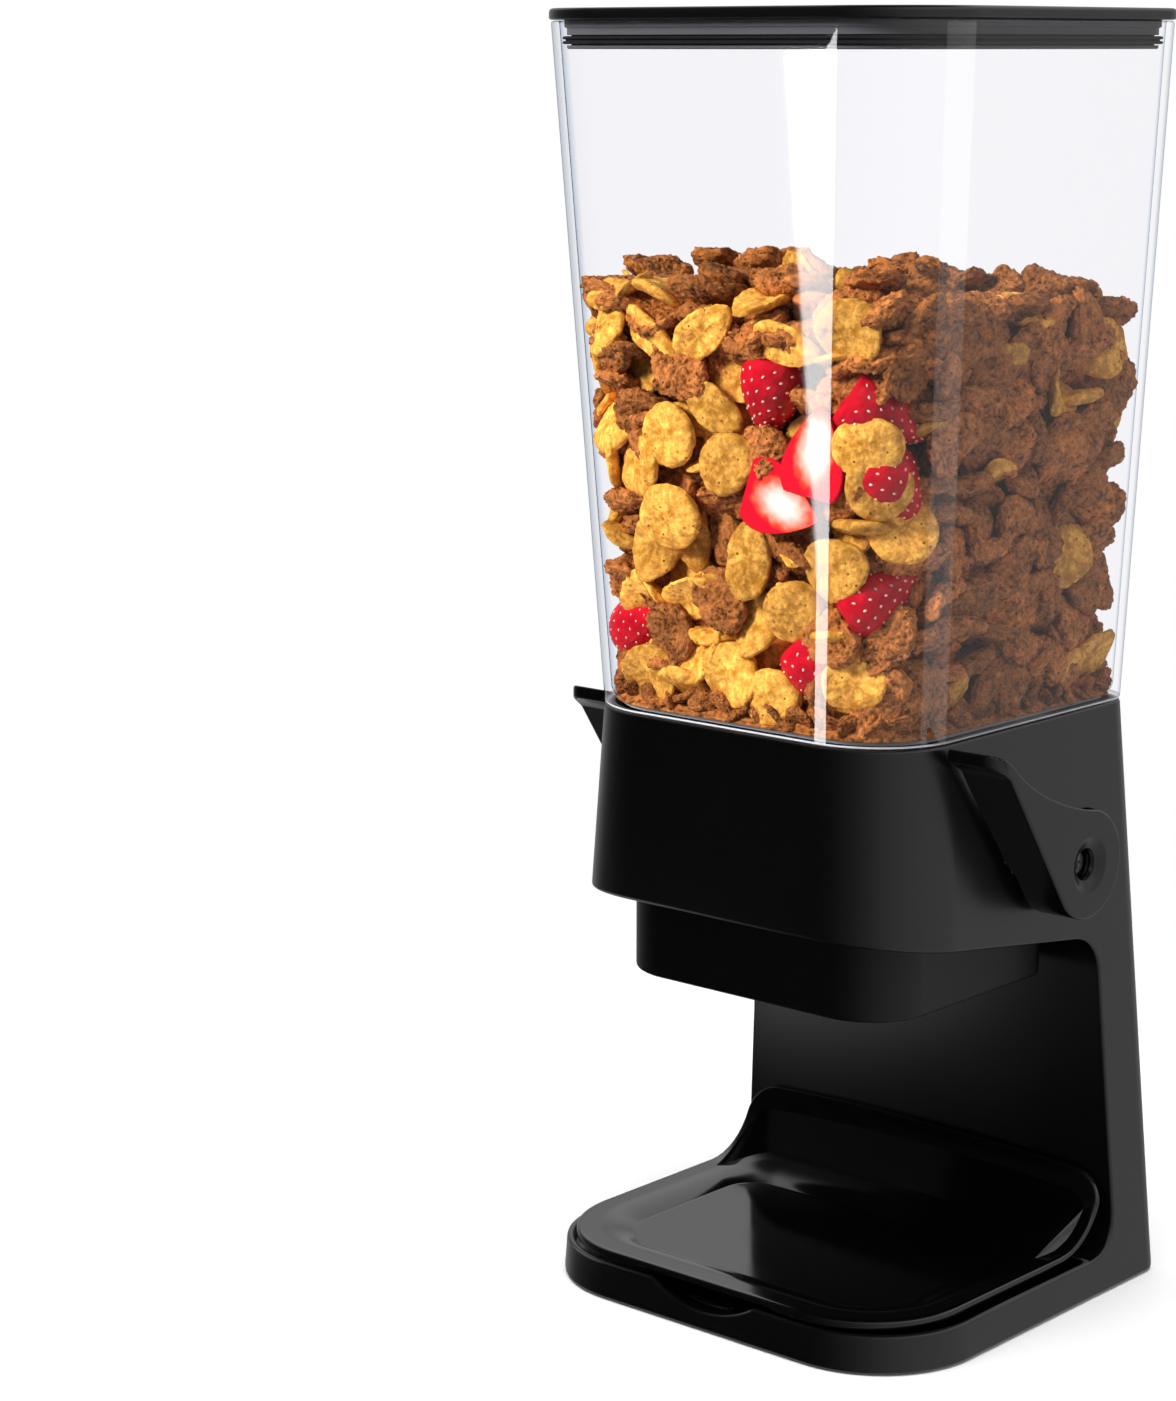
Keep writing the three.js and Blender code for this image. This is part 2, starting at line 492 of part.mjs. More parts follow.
function flap() {
  const hub = rodX(FLAP_HUB_RADIUS, -FLAP_PRINT.half, FLAP_PRINT.half);
  let body = block(FLAP_PRINT, FLAP_PRINT, FLAP_TOP - FLAP_THICKNESS, FLAP_TOP).add(hub);
  for (const x of [-32, 0, 32]) {
    body = body.add(across(polygon([PIVOT_Y - 4, PIVOT_Z - 7], [PIVOT_Y - 4, FLAP_TOP - 1],
      [THROAT.front + 8, FLAP_TOP - 1], [THROAT.front + 8, FLAP_TOP - FLAP_THICKNESS - 1]), x - 1, x + 1));
  }
  body = body.subtract(shaftBar(FIT, -BASE_WIDTH, BASE_WIDTH));
  for (const x of [-FLAP_SCREW_SIDE, FLAP_SCREW_SIDE]) {
    body = body.subtract(rodZ(SCREW_RADIUS + FIT, x, PIVOT_Y, PIVOT_Z - 12, PIVOT_Z, 14));
  }
  return piece("flap", body, SATIN_BLACK);
}

function flapSeal() {
  const outer = inset({ ...FLAP_PRINT, rear: THROAT.rear + 3 }, 0.6);
  const inner = inset(outer, 4);
  const top = THROAT_BOTTOM - FIT;
  return piece("flap_seal", block(outer, outer, top - SEAL_THICKNESS, top)
    .subtract(block(inner, inner, top - 5, top + 1)), RUBBER);
}

// A round bar with one flat along its top, which keys the levers and the flap to it.
function shaftBar(gap, from, to) {
  return rodX(SHAFT_RADIUS + gap, from, to).subtract(
    box(from - 1, to + 1, PIVOT_Y - 10, PIVOT_Y + 10, PIVOT_Z + SHAFT_FLAT + gap, PIVOT_Z + 20));
}

const SOCKET_END = LEVER_OUTER - LEVER_HOLE_DEPTH - 2;

function shaft() {
  const end = SOCKET_END - FIT;
  let body = shaftBar(0, -end, end);
  for (const side of [-1, 1]) {
    body = body.subtract(rodX(SCREW_RADIUS + FIT, side * (end - 12), side * (end + 1), 14))
      .subtract(rodZ(SCREW_RADIUS + FIT, side * FLAP_SCREW_SIDE, PIVOT_Y, PIVOT_Z - 12, PIVOT_Z - 0.5, 14));
  }
  return piece("shaft", body, STEEL);
}

function flapScrews() {
  const head = PIVOT_Z - FLAP_HUB_RADIUS - FIT - SCREW_HEAD_HEIGHT;
  return [["left", -FLAP_SCREW_SIDE], ["right", FLAP_SCREW_SIDE]].map(([side, x]) =>
    piece(`flap_screw_${side}`, screwZ(x, PIVOT_Y, head, PIVOT_Z - 1), STEEL));
}

// ---- Levers ------------------------------------------------------------------------------------------------
function leverOutline() {
  const neck = { y: TAB_FRONT + 7.4, z: TAB_TOP - 8.4 };
  const reach = Math.hypot(neck.y - PIVOT_Y, neck.z - PIVOT_Z);
  const toBoss = Math.atan2(PIVOT_Z - neck.z, PIVOT_Y - neck.y);
  const touch = toBoss - Math.asin(BOSS_RADIUS / reach) - Math.PI / 2;
  const shape = new THREE.Shape();
  shape.moveTo(TAB_FRONT, TAB_TOP - TAB_THICKNESS);
  shape.quadraticCurveTo(neck.y - 3, neck.z + 2.6, neck.y, neck.z);
  shape.absarc(PIVOT_Y, PIVOT_Z, BOSS_RADIUS, touch, touch + 4.05, false);
  shape.bezierCurveTo(PIVOT_Y - 12, PIVOT_Z + 19.5, neck.y + 12.5, neck.z - 6.5, neck.y + 2.6, neck.z + 3.2);
  shape.quadraticCurveTo(neck.y - 1.4, neck.z + 7, TAB_FRONT, TAB_TOP);
  return shape;
}

function leverPocket() {
  const neck = { y: TAB_FRONT + 7.4, z: TAB_TOP - 8.4 };
  const inner = BOSS_RADIUS - LEVER_WALL;
  const reach = Math.hypot(neck.y - PIVOT_Y, neck.z - PIVOT_Z);
  const toBoss = Math.atan2(PIVOT_Z - neck.z, PIVOT_Y - neck.y);
  const touch = toBoss - Math.asin(BOSS_RADIUS / reach) - Math.PI / 2;
  const shape = new THREE.Shape();
  shape.moveTo(neck.y + 5.4, neck.z - 1);
  shape.absarc(PIVOT_Y, PIVOT_Z, inner, touch, touch + 2.2, false);
  shape.lineTo(PIVOT_Y + 40, PIVOT_Z + 10);
  shape.lineTo(PIVOT_Y + 10, PIVOT_Z + 60);
  shape.lineTo(neck.y + 5.4, neck.z + 20);
  return shape;
}

function leverDish(side) {
  const depth = LEVER_HOLE_DEPTH;
  const hole = LEVER_HOLE_RADIUS;
  const profile = [[0, depth], [hole, depth], [hole, DISH_DEPTH + 0.4], [hole + 0.8, DISH_DEPTH],
    [DISH_RADIUS - 1.4, 0.5], [DISH_RADIUS, -0.2], [DISH_RADIUS, -1], [0, -1]].reverse();
  const geometry = new THREE.LatheGeometry(profile.map(([r, y]) => new THREE.Vector2(r, -y)).reverse(), 32);
  geometry.rotateZ(side > 0 ? -Math.PI / 2 : Math.PI / 2);
  geometry.translate(side * LEVER_OUTER, PIVOT_Y, PIVOT_Z);
  return solid(geometry);
}

function levers() {
  return [["left", -1], ["right", 1]].map(([name, side]) => {
    const cheek = LEVER_OUTER - LEVER_WALL;
    const body = across(leverOutline(), side * LEVER_INNER, side * LEVER_OUTER, 14)
      .subtract(across(leverPocket(), side * (LEVER_INNER - 5), side * cheek, 12))
      .add(rodX(BOSS_RADIUS - 0.6, side * LEVER_HUB_FACE, side * (cheek + 1), 36))
      .subtract(standBlock(PIVOT_Z - 50, COLLAR_TOP + 12, -LEVER_GAP))
      .subtract(rodX(BOSS_RADIUS + 2, side * (LEVER_INNER - 5), side * LEVER_HUB_FACE, 36)
        .intersect(box(side * (LEVER_INNER - 6), side * (LEVER_HUB_FACE + 0.01), PIVOT_Y - 30, PIVOT_Y + 30, PIVOT_Z - 30, PIVOT_Z + 30)))
      .subtract(shaftBar(FIT, Math.min(side * (LEVER_HUB_FACE - 6), side * SOCKET_END),
        Math.max(side * (LEVER_HUB_FACE - 6), side * SOCKET_END)))
      .subtract(rodX(SCREW_RADIUS + FIT, side * (SOCKET_END - 1), side * LEVER_OUTER, 14))
      .subtract(leverDish(side));
    return piece(`lever_${name}`, body, SATIN_BLACK);
  });
}

function leverScrews() {
  return [["left", -1], ["right", 1]].map(([name, side]) => {
    const seat = side * (LEVER_OUTER - LEVER_HOLE_DEPTH + FIT);
    const head = seat + side * 1.4;
    const body = rodX(3.4, seat, head, 20).add(rodX(SCREW_RADIUS, seat + side * 0.2, side * (SOCKET_END - 10), 14))
      .subtract(box(Math.min(head - side * 0.8, head + side), Math.max(head - side * 0.8, head + side),
        PIVOT_Y - 0.5, PIVOT_Y + 0.5, PIVOT_Z - 2.2, PIVOT_Z + 2.2))
      .subtract(box(Math.min(head - side * 0.8, head + side), Math.max(head - side * 0.8, head + side),
        PIVOT_Y - 2.2, PIVOT_Y + 2.2, PIVOT_Z - 0.5, PIVOT_Z + 0.5));
    return piece(`lever_screw_${name}`, body, STEEL);
  });
}

// ---- Bearings and return springs ------------------------------------------------------------------------------
function bushes() {
  return [["left", -1], ["right", 1]].map(([name, side]) => {
    const body = rodX(BUSH_OUTER, side * BUSH_INNER_FACE, side * (LEVER_HUB_FACE - 1.5))
      .add(rodX(BUSH_OUTER + 2.5, side * BUSH_INNER_FACE, side * (BUSH_INNER_FACE + BUSH_FLANGE)))
      .subtract(rodX(SHAFT_RADIUS + FIT, side * (BUSH_INNER_FACE - 1), side * LEVER_HUB_FACE));
    return piece(`bush_${name}`, body, BUSH_PLASTIC);
  });
}

function washers() {
  return [["left", -1], ["right", 1]].map(([name, side]) => piece(`washer_${name}`,
    ringX(10, SHAFT_RADIUS + FIT, side * (LEVER_HUB_FACE - 1.2), side * (LEVER_HUB_FACE - FIT)), STEEL));
}

function returnSprings() {
  const from = CHUTE_PRINT.half + SPRING_WIRE + FIT;
  const to = BUSH_INNER_FACE - SPRING_WIRE - FIT;
  const coilRadius = SHAFT_RADIUS + SPRING_GAP + SPRING_WIRE;
  return [["left", -1], ["right", 1]].map(([name, side]) => {
    const steps = SPRING_TURNS * 12;
    const coil = Array.from({ length: steps + 1 }, (_, i) => {
      const angle = (2 * Math.PI * SPRING_TURNS * i) / steps - Math.PI / 2;
      return new THREE.Vector3(side * (from + ((to - from) * i) / steps),
        PIVOT_Y + coilRadius * Math.cos(angle), PIVOT_Z + coilRadius * Math.sin(angle));
    });
    const path = new THREE.CatmullRomCurve3(coil);
    const wire = new THREE.Shape(Array.from({ length: 6 }, (_, i) => new THREE.Vector2(
      SPRING_WIRE * Math.cos((i * Math.PI) / 3), SPRING_WIRE * Math.sin((i * Math.PI) / 3))));
    const geometry = new THREE.ExtrudeGeometry(wire, { steps, extrudePath: path, bevelEnabled: false });
    return piece(`return_spring_${name}`, solid(geometry), STEEL);
  });
}

// ---- Hopper and lid --------------------------------------------------------------------------------------------
function hopper() {
  const spigot = inset(standPrint(COLLAR_TOP), STAND_WALL + SPIGOT_GAP);
  const bore = inset(spigot, HOPPER_WALL);
  const body = hopperBlock(HOPPER_FOOT, RIM_TOP)
    .add(block(spigot, spigot, SPIGOT_BOTTOM, HOPPER_FOOT + 1))
    .subtract(hopperBlock(HOPPER_FOOT + HOPPER_WALL, RIM_TOP + 1, HOPPER_WALL))
    .subtract(block(bore, bore, SPIGOT_BOTTOM - 1, HOPPER_FOOT + HOPPER_WALL + 0.5));
  return piece("hopper", body, CLEAR);
}

function lid() {
  const plateBottom = TOTAL_HEIGHT - LID_THICKNESS;
  const plate = { ...RIM_PRINT, half: RIM_PRINT.half + 0.3, front: RIM_PRINT.front - 0.5, rear: RIM_PRINT.rear + 0.5 };
  const skirt = inset(hopperPrint(SKIRT_BOTTOM), HOPPER_WALL + SKIRT_CLEARANCE);
  const groove = inset(skirt, GASKET_DEPTH - SKIRT_CLEARANCE + 0.8);
  const body = block(inset(plate, 0.5), plate, plateBottom, TOTAL_HEIGHT - 1)
    .add(block(plate, inset(plate, 0.8), TOTAL_HEIGHT - 1, TOTAL_HEIGHT))
    .add(block(skirt, skirt, SKIRT_BOTTOM, plateBottom + 1))
    .add(block(inset(skirt, -0.8), inset(skirt, -0.8), plateBottom - 2.2, plateBottom + 0.5))
    .subtract(block(inset(skirt, SKIRT_WALL + 1.3), inset(skirt, SKIRT_WALL + 1.3), SKIRT_BOTTOM - 1, plateBottom))
    .subtract(block(inset(plate, 9), inset(plate, 8), TOTAL_HEIGHT - LID_PANEL_DEPTH, TOTAL_HEIGHT + 1))
    .subtract(block(inset(skirt, -3), inset(skirt, -3), GASKET_BOTTOM - FIT, GASKET_BOTTOM + GASKET_HEIGHT + FIT)
      .subtract(block(groove, groove, SKIRT_BOTTOM, TOTAL_HEIGHT)));
  return piece("lid", body, SATIN_BLACK);
}

function lidGasket() {
  const skirt = inset(hopperPrint(SKIRT_BOTTOM), HOPPER_WALL + SKIRT_CLEARANCE);
  const outer = inset(skirt, FIT - SKIRT_CLEARANCE);
  const inner = inset(skirt, GASKET_DEPTH - SKIRT_CLEARANCE + 0.8 - FIT);
  return piece("lid_gasket", block(outer, outer, GASKET_BOTTOM, GASKET_BOTTOM + GASKET_HEIGHT)
    .subtract(block(inner, inner, GASKET_BOTTOM - 1, GASKET_BOTTOM + GASKET_HEIGHT + 1)), RUBBER);
}

// ---- Whole dispenser ---------------------------------------------------------------------------------------------
const dispenser = new THREE.Group();
dispenser.name = "cereal_dispenser";
dispenser.add(
  stand(), basePlate(), ...feet(), ...baseScrews(),
  tray(),
  chute(), funnel(), ...chuteScrews(),
  flap(), flapSeal(), shaft(), ...flapScrews(),
  ...levers(), ...leverScrews(), ...bushes(), ...washers(), ...returnSprings(),
  hopper(), lid(), lidGasket(),
);

export default dispenser;
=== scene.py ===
"""Countertop cereal dispenser: a black moulded stand, a clear hopper and two side levers.

Lengths in the geometry code are millimetres; the mesh is scaled to metres as it is made.
X runs across the dispenser, Y from its front to its back, and Z up.
"""
import json
import math
import random
from types import SimpleNamespace

import bmesh
import bpy
import numpy as np
from mathutils import Euler, Matrix, Vector, noise

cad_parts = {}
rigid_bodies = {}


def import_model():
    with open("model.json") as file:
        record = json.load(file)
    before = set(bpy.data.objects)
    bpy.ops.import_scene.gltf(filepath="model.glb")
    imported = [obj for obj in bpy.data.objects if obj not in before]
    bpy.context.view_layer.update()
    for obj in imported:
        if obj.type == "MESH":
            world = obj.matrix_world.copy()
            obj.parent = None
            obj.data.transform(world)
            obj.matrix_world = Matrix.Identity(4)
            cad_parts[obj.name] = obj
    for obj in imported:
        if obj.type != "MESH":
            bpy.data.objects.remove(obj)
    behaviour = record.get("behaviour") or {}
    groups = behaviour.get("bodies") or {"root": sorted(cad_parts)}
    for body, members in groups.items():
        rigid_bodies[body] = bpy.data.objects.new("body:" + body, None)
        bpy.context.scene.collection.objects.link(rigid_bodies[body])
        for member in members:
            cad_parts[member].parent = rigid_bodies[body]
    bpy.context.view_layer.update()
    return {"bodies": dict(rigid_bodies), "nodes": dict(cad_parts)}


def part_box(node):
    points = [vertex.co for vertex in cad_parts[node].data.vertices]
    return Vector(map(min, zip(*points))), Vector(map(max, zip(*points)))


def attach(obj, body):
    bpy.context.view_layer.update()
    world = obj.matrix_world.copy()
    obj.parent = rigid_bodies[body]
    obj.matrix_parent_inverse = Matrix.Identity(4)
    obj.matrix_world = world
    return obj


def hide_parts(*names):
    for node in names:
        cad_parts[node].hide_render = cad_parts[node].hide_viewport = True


bl_info = {
    "name": "Cereal Dispenser",
    "version": (1, 0, 0),
    "blender": (4, 5, 0),
    "location": "3D View > Sidebar > Dispenser",
    "description": "Builds a countertop cereal dispenser around its packed frame",
    "category": "Add Mesh",
}

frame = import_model()
MM = 0.001


def corner_mm(node, which):
    """The lowest (0) or highest (1) corner of a frame node, in millimetres."""
    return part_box(node)[which] / MM


# ---- Properties ----
def length(name, description, millimetres):
    """A length property with its default in millimetres."""
    return bpy.props.FloatProperty(
        name=name, description=description, default=millimetres * MM,
        min=0.0, precision=4, unit="LENGTH", subtype="DISTANCE")


def linear(colour):
    """An sRGB hex colour as linear red, green and blue."""
    parts = [int(colour[i:i + 2], 16) / 255 for i in (0, 2, 4)]
    return tuple(c / 12.92 if c <= 0.04045 else ((c + 0.055) / 1.055) ** 2.4 for c in parts)


def shade(name, description, colour):
    """A colour property with its default as an sRGB hex value."""
    return bpy.props.FloatVectorProperty(
        name=name, description=description, default=linear(colour),
        min=0.0, max=1.0, size=3, subtype="COLOR")


class DispenserSizes(bpy.types.PropertyGroup):
    """Sizes of the moulded pieces."""
    stand_wall: length("Stand wall", "Wall of the stand moulding", 2.6)
    edge_round: length("Edge rounding", "Radius on the stand's outer edges", 1.1)
    collar_height: length("Collar height", "Depth of the collar's front below its top", 58.0)
    bowl_fillet: length("Bowl fillet", "Curve between the column, the base and the collar", 14.0)
    notch_half: length("Finger notch", "Half the width of the finger notch in the base", 20.0)
    notch_depth: length("Notch depth", "Depth of the finger notch", 6.0)
    tray_sheet: length("Tray sheet", "Thickness of the drip tray", 2.0)
    tray_sweep: length("Tray sweep", "Radius of the tray's rise at the column", 21.6)
    tray_floor: length("Tray floor", "Height of the floor of the tray's recess", 13.4)
    hopper_wall: length("Hopper wall", "Wall of the clear hopper", 2.5)
    chute_wall: length("Chute wall", "Wall of the outlet chute", 2.4)
    lever_round: length("Lever rounding", "Radius on the edges of the levers", 0.9)
    boss_radius: length("Boss radius", "Radius of the lever round the pivot", 16.8)
    contents_top: length("Fill level", "Height of the cereal in the hopper", 316.0)


class DispenserColours(bpy.types.PropertyGroup):
    """Colours of the plastics, metals and contents."""
    satin: shade("Satin black", "Stand, chute and levers", "070708")
    gloss: shade("Gloss black", "Drip tray", "070708")
    lid: shade("Lid black", "Lid plug", "535355")
    rubber: shade("Rubber", "Feet, seals and gasket", "1d1d1f")
    steel: shade("Steel", "Shaft, screws, springs and washers", "b4b5b8")
    bush: shade("Acetal", "Bearing bushes", "d9d9d2")
    floor: shade("Floor", "Studio floor", "f4f4f5")
    bran: shade("Bran", "Brown bran flakes", "b3744a")
    wheat: shade("Wheat", "Golden wheat flakes", "e2a55c")
    berry: shade("Strawberry", "Strawberry skin", "c60f24")


def millimetres(group):
    """A property group's lengths, in millimetres."""
    return SimpleNamespace(**{key: getattr(group, key) / MM for key in group.__annotations__})


# ---- Plans: rounded rectangles about X = 0 with their own front and rear corner radii ----
def plan(half, front, rear, front_radius, rear_radius):
    """Half the width, the front and rear edges in Y, and the corner radii."""
    return SimpleNamespace(half=half, front=front, rear=rear,
                           front_radius=front_radius, rear_radius=rear_radius)


def inset(p, by):
    """A plan moved in by a distance, or out if that is negative."""
    return plan(p.half - by, p.front + by, p.rear - by,
                max(p.front_radius - by, 0.6), max(p.rear_radius - by, 0.6))


def between(low, high, t):
    """The plan a share of the way from one to another."""
    return plan(*(getattr(low, key) + (getattr(high, key) - getattr(low, key)) * t
                  for key in ("half", "front", "rear", "front_radius", "rear_radius")))


def outline(p, corner=16, side=1):
    """Points round a plan, from the front of its right side; each straight has `side` steps."""
    spots = ((p.half - p.front_radius, p.front + p.front_radius, p.front_radius, -90),
             (p.half - p.rear_radius, p.rear - p.rear_radius, p.rear_radius, 0),
             (p.rear_radius - p.half, p.rear - p.rear_radius, p.rear_radius, 90),
             (p.front_radius - p.half, p.front + p.front_radius, p.front_radius, 180))
    arcs = [[(x + r * math.cos(math.radians(start + 90 * k / corner)),
              y + r * math.sin(math.radians(start + 90 * k / corner))) for k in range(corner + 1)]
            for x, y, r, start in spots]
    points = []
    for arc, following in zip(arcs, arcs[1:] + arcs[:1]):
        (x0, y0), (x1, y1) = arc[-1], following[0]
        points += arc
        points += [(x0 + (x1 - x0) * k / side, y0 + (y1 - y0) * k / side) for k in range(1, side)]
    return points


def level(p, z, **steps):
    """A plan's outline at one height."""
    return [(x, y, z) for x, y in outline(p, **steps)]


def rings(rows, corner=16, side=1):
    """One ring for each row: a plan, how far it is inset and its height."""
    return [level(inset(p, by), z, corner=corner, side=side) for p, by, z in rows]


BASE_PLAN = plan(76.0, -70.0, 73.5, 36.0, 9.0)
COLLAR_PLAN = plan(63.3, -60.8, 66.0, 29.0, 12.0)
RIM_PLAN = plan(75.5, -73.0, 67.5, 31.0, 15.0)
BASE_TOP = 12.5
COLLAR_TOP = corner_mm("stand", 1).z
STAND_FOOT = corner_mm("stand", 0).z
# How far the cutting blocks reach to each side, well past the dispenser.
ACROSS = (-152, 152)
HOPPER_FOOT = COLLAR_TOP + 0.3
RIM_TOP = corner_mm("hopper", 1).z
LID_TOP = corner_mm("lid", 1).z


def stand_plan(z):
    """The stand's outline at a height: it tapers from the base to the collar."""
    return between(BASE_PLAN, COLLAR_PLAN, z / COLLAR_TOP)


def hopper_plan(z):
    """The hopper's outer wall at a height: it flares from the collar to the rim."""
    return between(COLLAR_PLAN, RIM_PLAN, (z - HOPPER_FOOT) / (RIM_TOP - HOPPER_FOOT))


def column_face(z):
    """Y of the column's front face at a height."""
    return 47.0 - 0.05 * z


# ---- Mesh helpers ----
def mesh_object(name, bm):
    """A smooth-shaded object made from a bmesh."""
    bmesh.ops.recalc_face_normals(bm, faces=bm.faces)
    mesh = bpy.data.meshes.new(name)
    bm.to_mesh(mesh)
    bm.free()
    mesh.shade_smooth()
    body = bpy.data.objects.new(name, mesh)
    bpy.context.scene.collection.objects.link(body)
    return body


def loft(name, rings, closed=False):
    """Skins rings of equal length. `closed` joins the last to the first; otherwise both are capped."""
    bm = bmesh.new()
    rows = [[bm.verts.new(Vector(point) * MM) for point in ring] for ring in rings]
    for low, high in list(zip(rows, rows[1:])) + ([(rows[-1], rows[0])] if closed else []):
        for i in range(len(low)):
            j = (i + 1) % len(low)
            bm.faces.new((low[i], low[j], high[j], high[i]))
    if not closed:
        bm.faces.new(rows[0])
        bm.faces.new(rows[-1])
    return mesh_object(name, bm)


def side_profile(name, points, x0, x1):
    """A closed outline of (y, z) points carried along X."""
    return loft(name, [[(x, y, z) for y, z in points] for x in (x0, x1)])


def disc(x, y, z, radius, axis, sides=48):
    """A circle of points about a centre, facing along X or Z."""
    turns = [2 * math.pi * k / sides for k in range(sides)]
    if axis == "X":
        return [(x, y + radius * math.cos(t), z + radius * math.sin(t)) for t in turns]
    return [(x + radius * math.cos(t), y + radius * math.sin(t), z) for t in turns]


def rod(name, profile, y, z, axis="X", x=0.0, sides=48):
    """A turned solid: (place, radius) pairs along its axis."""
    if axis == "X":
        return loft(name, [disc(at, y, z, radius, "X", sides) for at, radius in profile])
    return loft(name, [disc(x, y, at, radius, "Z", sides) for at, radius in profile])


def combine(body, tools, operation="DIFFERENCE"):
    """Cuts the tools from a body, or joins or crosses them, and removes the tools."""
    for tool in tools:
        step = body.modifiers.new("shape", "BOOLEAN")
        step.operation, step.solver, step.object = operation, "EXACT", tool
        graph = bpy.context.evaluated_depsgraph_get()
        made = bpy.data.meshes.new_from_object(body.evaluated_get(graph))
        body.modifiers.clear()
        old, body.data = body.data, made
        bpy.data.meshes.remove(old)
        bpy.data.objects.remove(tool)
    weld(body)
    return body


def weld(body, distance=0.02):
    """Joins points closer than a moulding could hold and drops edges and faces that have shrunk to nothing.
    """
    bm = bmesh.new()
    bm.from_mesh(body.data)
    bmesh.ops.remove_doubles(bm, verts=bm.verts, dist=distance * MM)
    bmesh.ops.dissolve_degenerate(bm, edges=bm.edges, dist=distance * MM)
    bm.to_mesh(body.data)
    bm.free()
    body.data.shade_smooth()


def level_shading(body, weight):
    """Keeps broad faces evenly shaded up to the small faces beside them."""
    normals = body.modifiers.new("face weighting", "WEIGHTED_NORMAL")
    normals.weight = weight
    return normals


def round_edges(body, radius, segments=3, angle=33):
    """Rounds the edges sharper than an angle and settles the shading on the broad faces."""
    bevel = body.modifiers.new("edge rounding", "BEVEL")
    bevel.width, bevel.segments = radius * MM, segments
    bevel.limit_method, bevel.angle_limit = "ANGLE", math.radians(angle)
    bevel.use_clamp_overlap = False
    bevel.miter_outer = "MITER_ARC"
    level_shading(body, 60).keep_sharp = True


def arc(cy, cz, radius, start, end, steps=16):
    """(y, z) points along an arc between two angles."""
    return [(cy + radius * math.cos(start + (end - start) * k / steps),
             cz + radius * math.sin(start + (end - start) * k / steps)) for k in range(steps + 1)]


def bezier(*control, steps=12):
    """Points on a quadratic or cubic curve, its start left out."""
    points = []
    for k in range(1, steps + 1):
        row, t = [Vector(c) for c in control], k / steps
        while len(row) > 1:
            row = [a.lerp(b, t) for a, b in zip(row, row[1:])]
        points.append(tuple(row[0]))
    return points


def fit(piece, body, slot, material, *nodes):
    """Hangs a finished piece on its frame body, gives it its finish and hides what it stands for."""
    piece.data.materials.clear()
    piece.data.materials.append(material)
    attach(piece, body)
    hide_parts(*nodes)
    return piece


# ---- Materials ----
def add(tree, kind, inputs=None, stops=(), **settings):
    """Adds a node, sets its options and a ramp's stops, and fills or links its inputs.

    A node that is given as an input stands for its first output.
    """
    made = tree.nodes.new(kind)
    for key, value in settings.items():
        setattr(made, key, value)
    for key, value in (inputs or {}).items():
        if isinstance(value, bpy.types.Node):
            value = value.outputs[0]
        if isinstance(value, bpy.types.NodeSocket):
            tree.links.new(value, made.inputs[key])
        else:
            made.inputs[key].default_value = value
    if stops:
        elements = made.color_ramp.elements
        while len(elements) < len(stops):
            elements.new(0.5)
        for element, (place, colour) in zip(elements, stops):
            element.position, element.color = place, colour
    return made


def per(size):
    """The texture scale that repeats about once in a size in millimetres."""
    return 1 / (size * MM)


def material(name):
    """An empty material, its node tree, and the place on the piece that its patterns follow."""
    made = bpy.data.materials.get(name) or bpy.data.materials.new(name)
    made.use_nodes = True
    tree = made.node_tree
    tree.nodes.clear()
    return made, tree, add(tree, "ShaderNodeTexCoord").outputs["Object"]


def finished(made, shader):
    """Links a shader's output to the material's surface."""
    add(made.node_tree, "ShaderNodeOutputMaterial", {"Surface": shader})
    return made


def solid_colour(colour, factor=1.0):
    """A linear colour made darker or lighter by a factor, for a socket."""
    return (*(min(1.0, c * factor) for c in colour), 1.0)


def tone(colour):
    """An sRGB hex colour for a socket or a ramp stop."""
    return (*linear(colour), 1.0)


def moulded_plastic(name, colour, roughness, spread, grain_mm, grain_depth, ior=1.68, smear_mm=38.0):
    """An injection-moulded plastic: an even colour, a fine mould grain and faint handling smears."""
    made, tree, where = material(name)
    smear = add(tree, "ShaderNodeTexNoise", {
        "Vector": where, "Scale": per(smear_mm), "Detail": 4.0, "Roughness": 0.55})
    grain = add(tree, "ShaderNodeTexNoise", {
        "Vector": where, "Scale": per(grain_mm), "Detail": 2.0, "Roughness": 0.6})
    # A mix node's factor and two colours are its inputs 0, 6 and 7, and the mixed colour its output 2.
    tint = add(tree, "ShaderNodeMix", {
        0: smear, 6: solid_colour(colour, 0.88), 7: solid_colour(colour, 1.14)}, data_type="RGBA")
    sheen = add(tree, "ShaderNodeMapRange", {
        "Value": smear, "From Min": 0.3, "From Max": 0.7,
        "To Min": roughness - spread, "To Max": roughness + spread})
    relief = add(tree, "ShaderNodeBump", {
        "Height": grain, "Strength": 0.35, "Distance": grain_depth * MM})
    shader = add(tree, "ShaderNodeBsdfPrincipled", {
        "Base Color": tint.outputs[2], "Roughness": sheen, "IOR": ior,
        "Normal": relief})
    return finished(made, shader)


def satin_abs(colours):
    # ABS, injection moulded in a lightly spark-eroded tool: near black, with broad soft reflections.
    # The real grain is about 0.05 mm; it is drawn at 0.45 mm so that it shows at all.
    return moulded_plastic("abs_satin_moulded", colours.satin, 0.30, 0.02, 0.45, 0.006)


def matt_abs(colours):
    # The same ABS from an unpolished tool: the chute, which hardly shines under the collar.
    return moulded_plastic("abs_matt_moulded", colours.satin, 0.42, 0.03, 0.5, 0.01, ior=1.45)


def lever_abs(colours):
    # ABS from a polished tool: the same black with tighter highlights along its rounded edges.
    return moulded_plastic("abs_semi_gloss_moulded", colours.satin, 0.22, 0.02, 0.5, 0.004, ior=1.6)


def gloss_abs(colours):
    # ABS from a mirror-polished tool: deep black with clear reflections and faint flow waviness.
    return moulded_plastic("abs_polished_moulded", colours.gloss, 0.11, 0.025, 9.0, 0.02, smear_mm=26.0)


def lid_abs(colours):
    # Softer ABS, moulded: the lid's plug, greyer and more matt than the plate it hangs from.
    return moulded_plastic("abs_plug_moulded", colours.lid, 0.45, 0.03, 0.6, 0.006, ior=1.4)


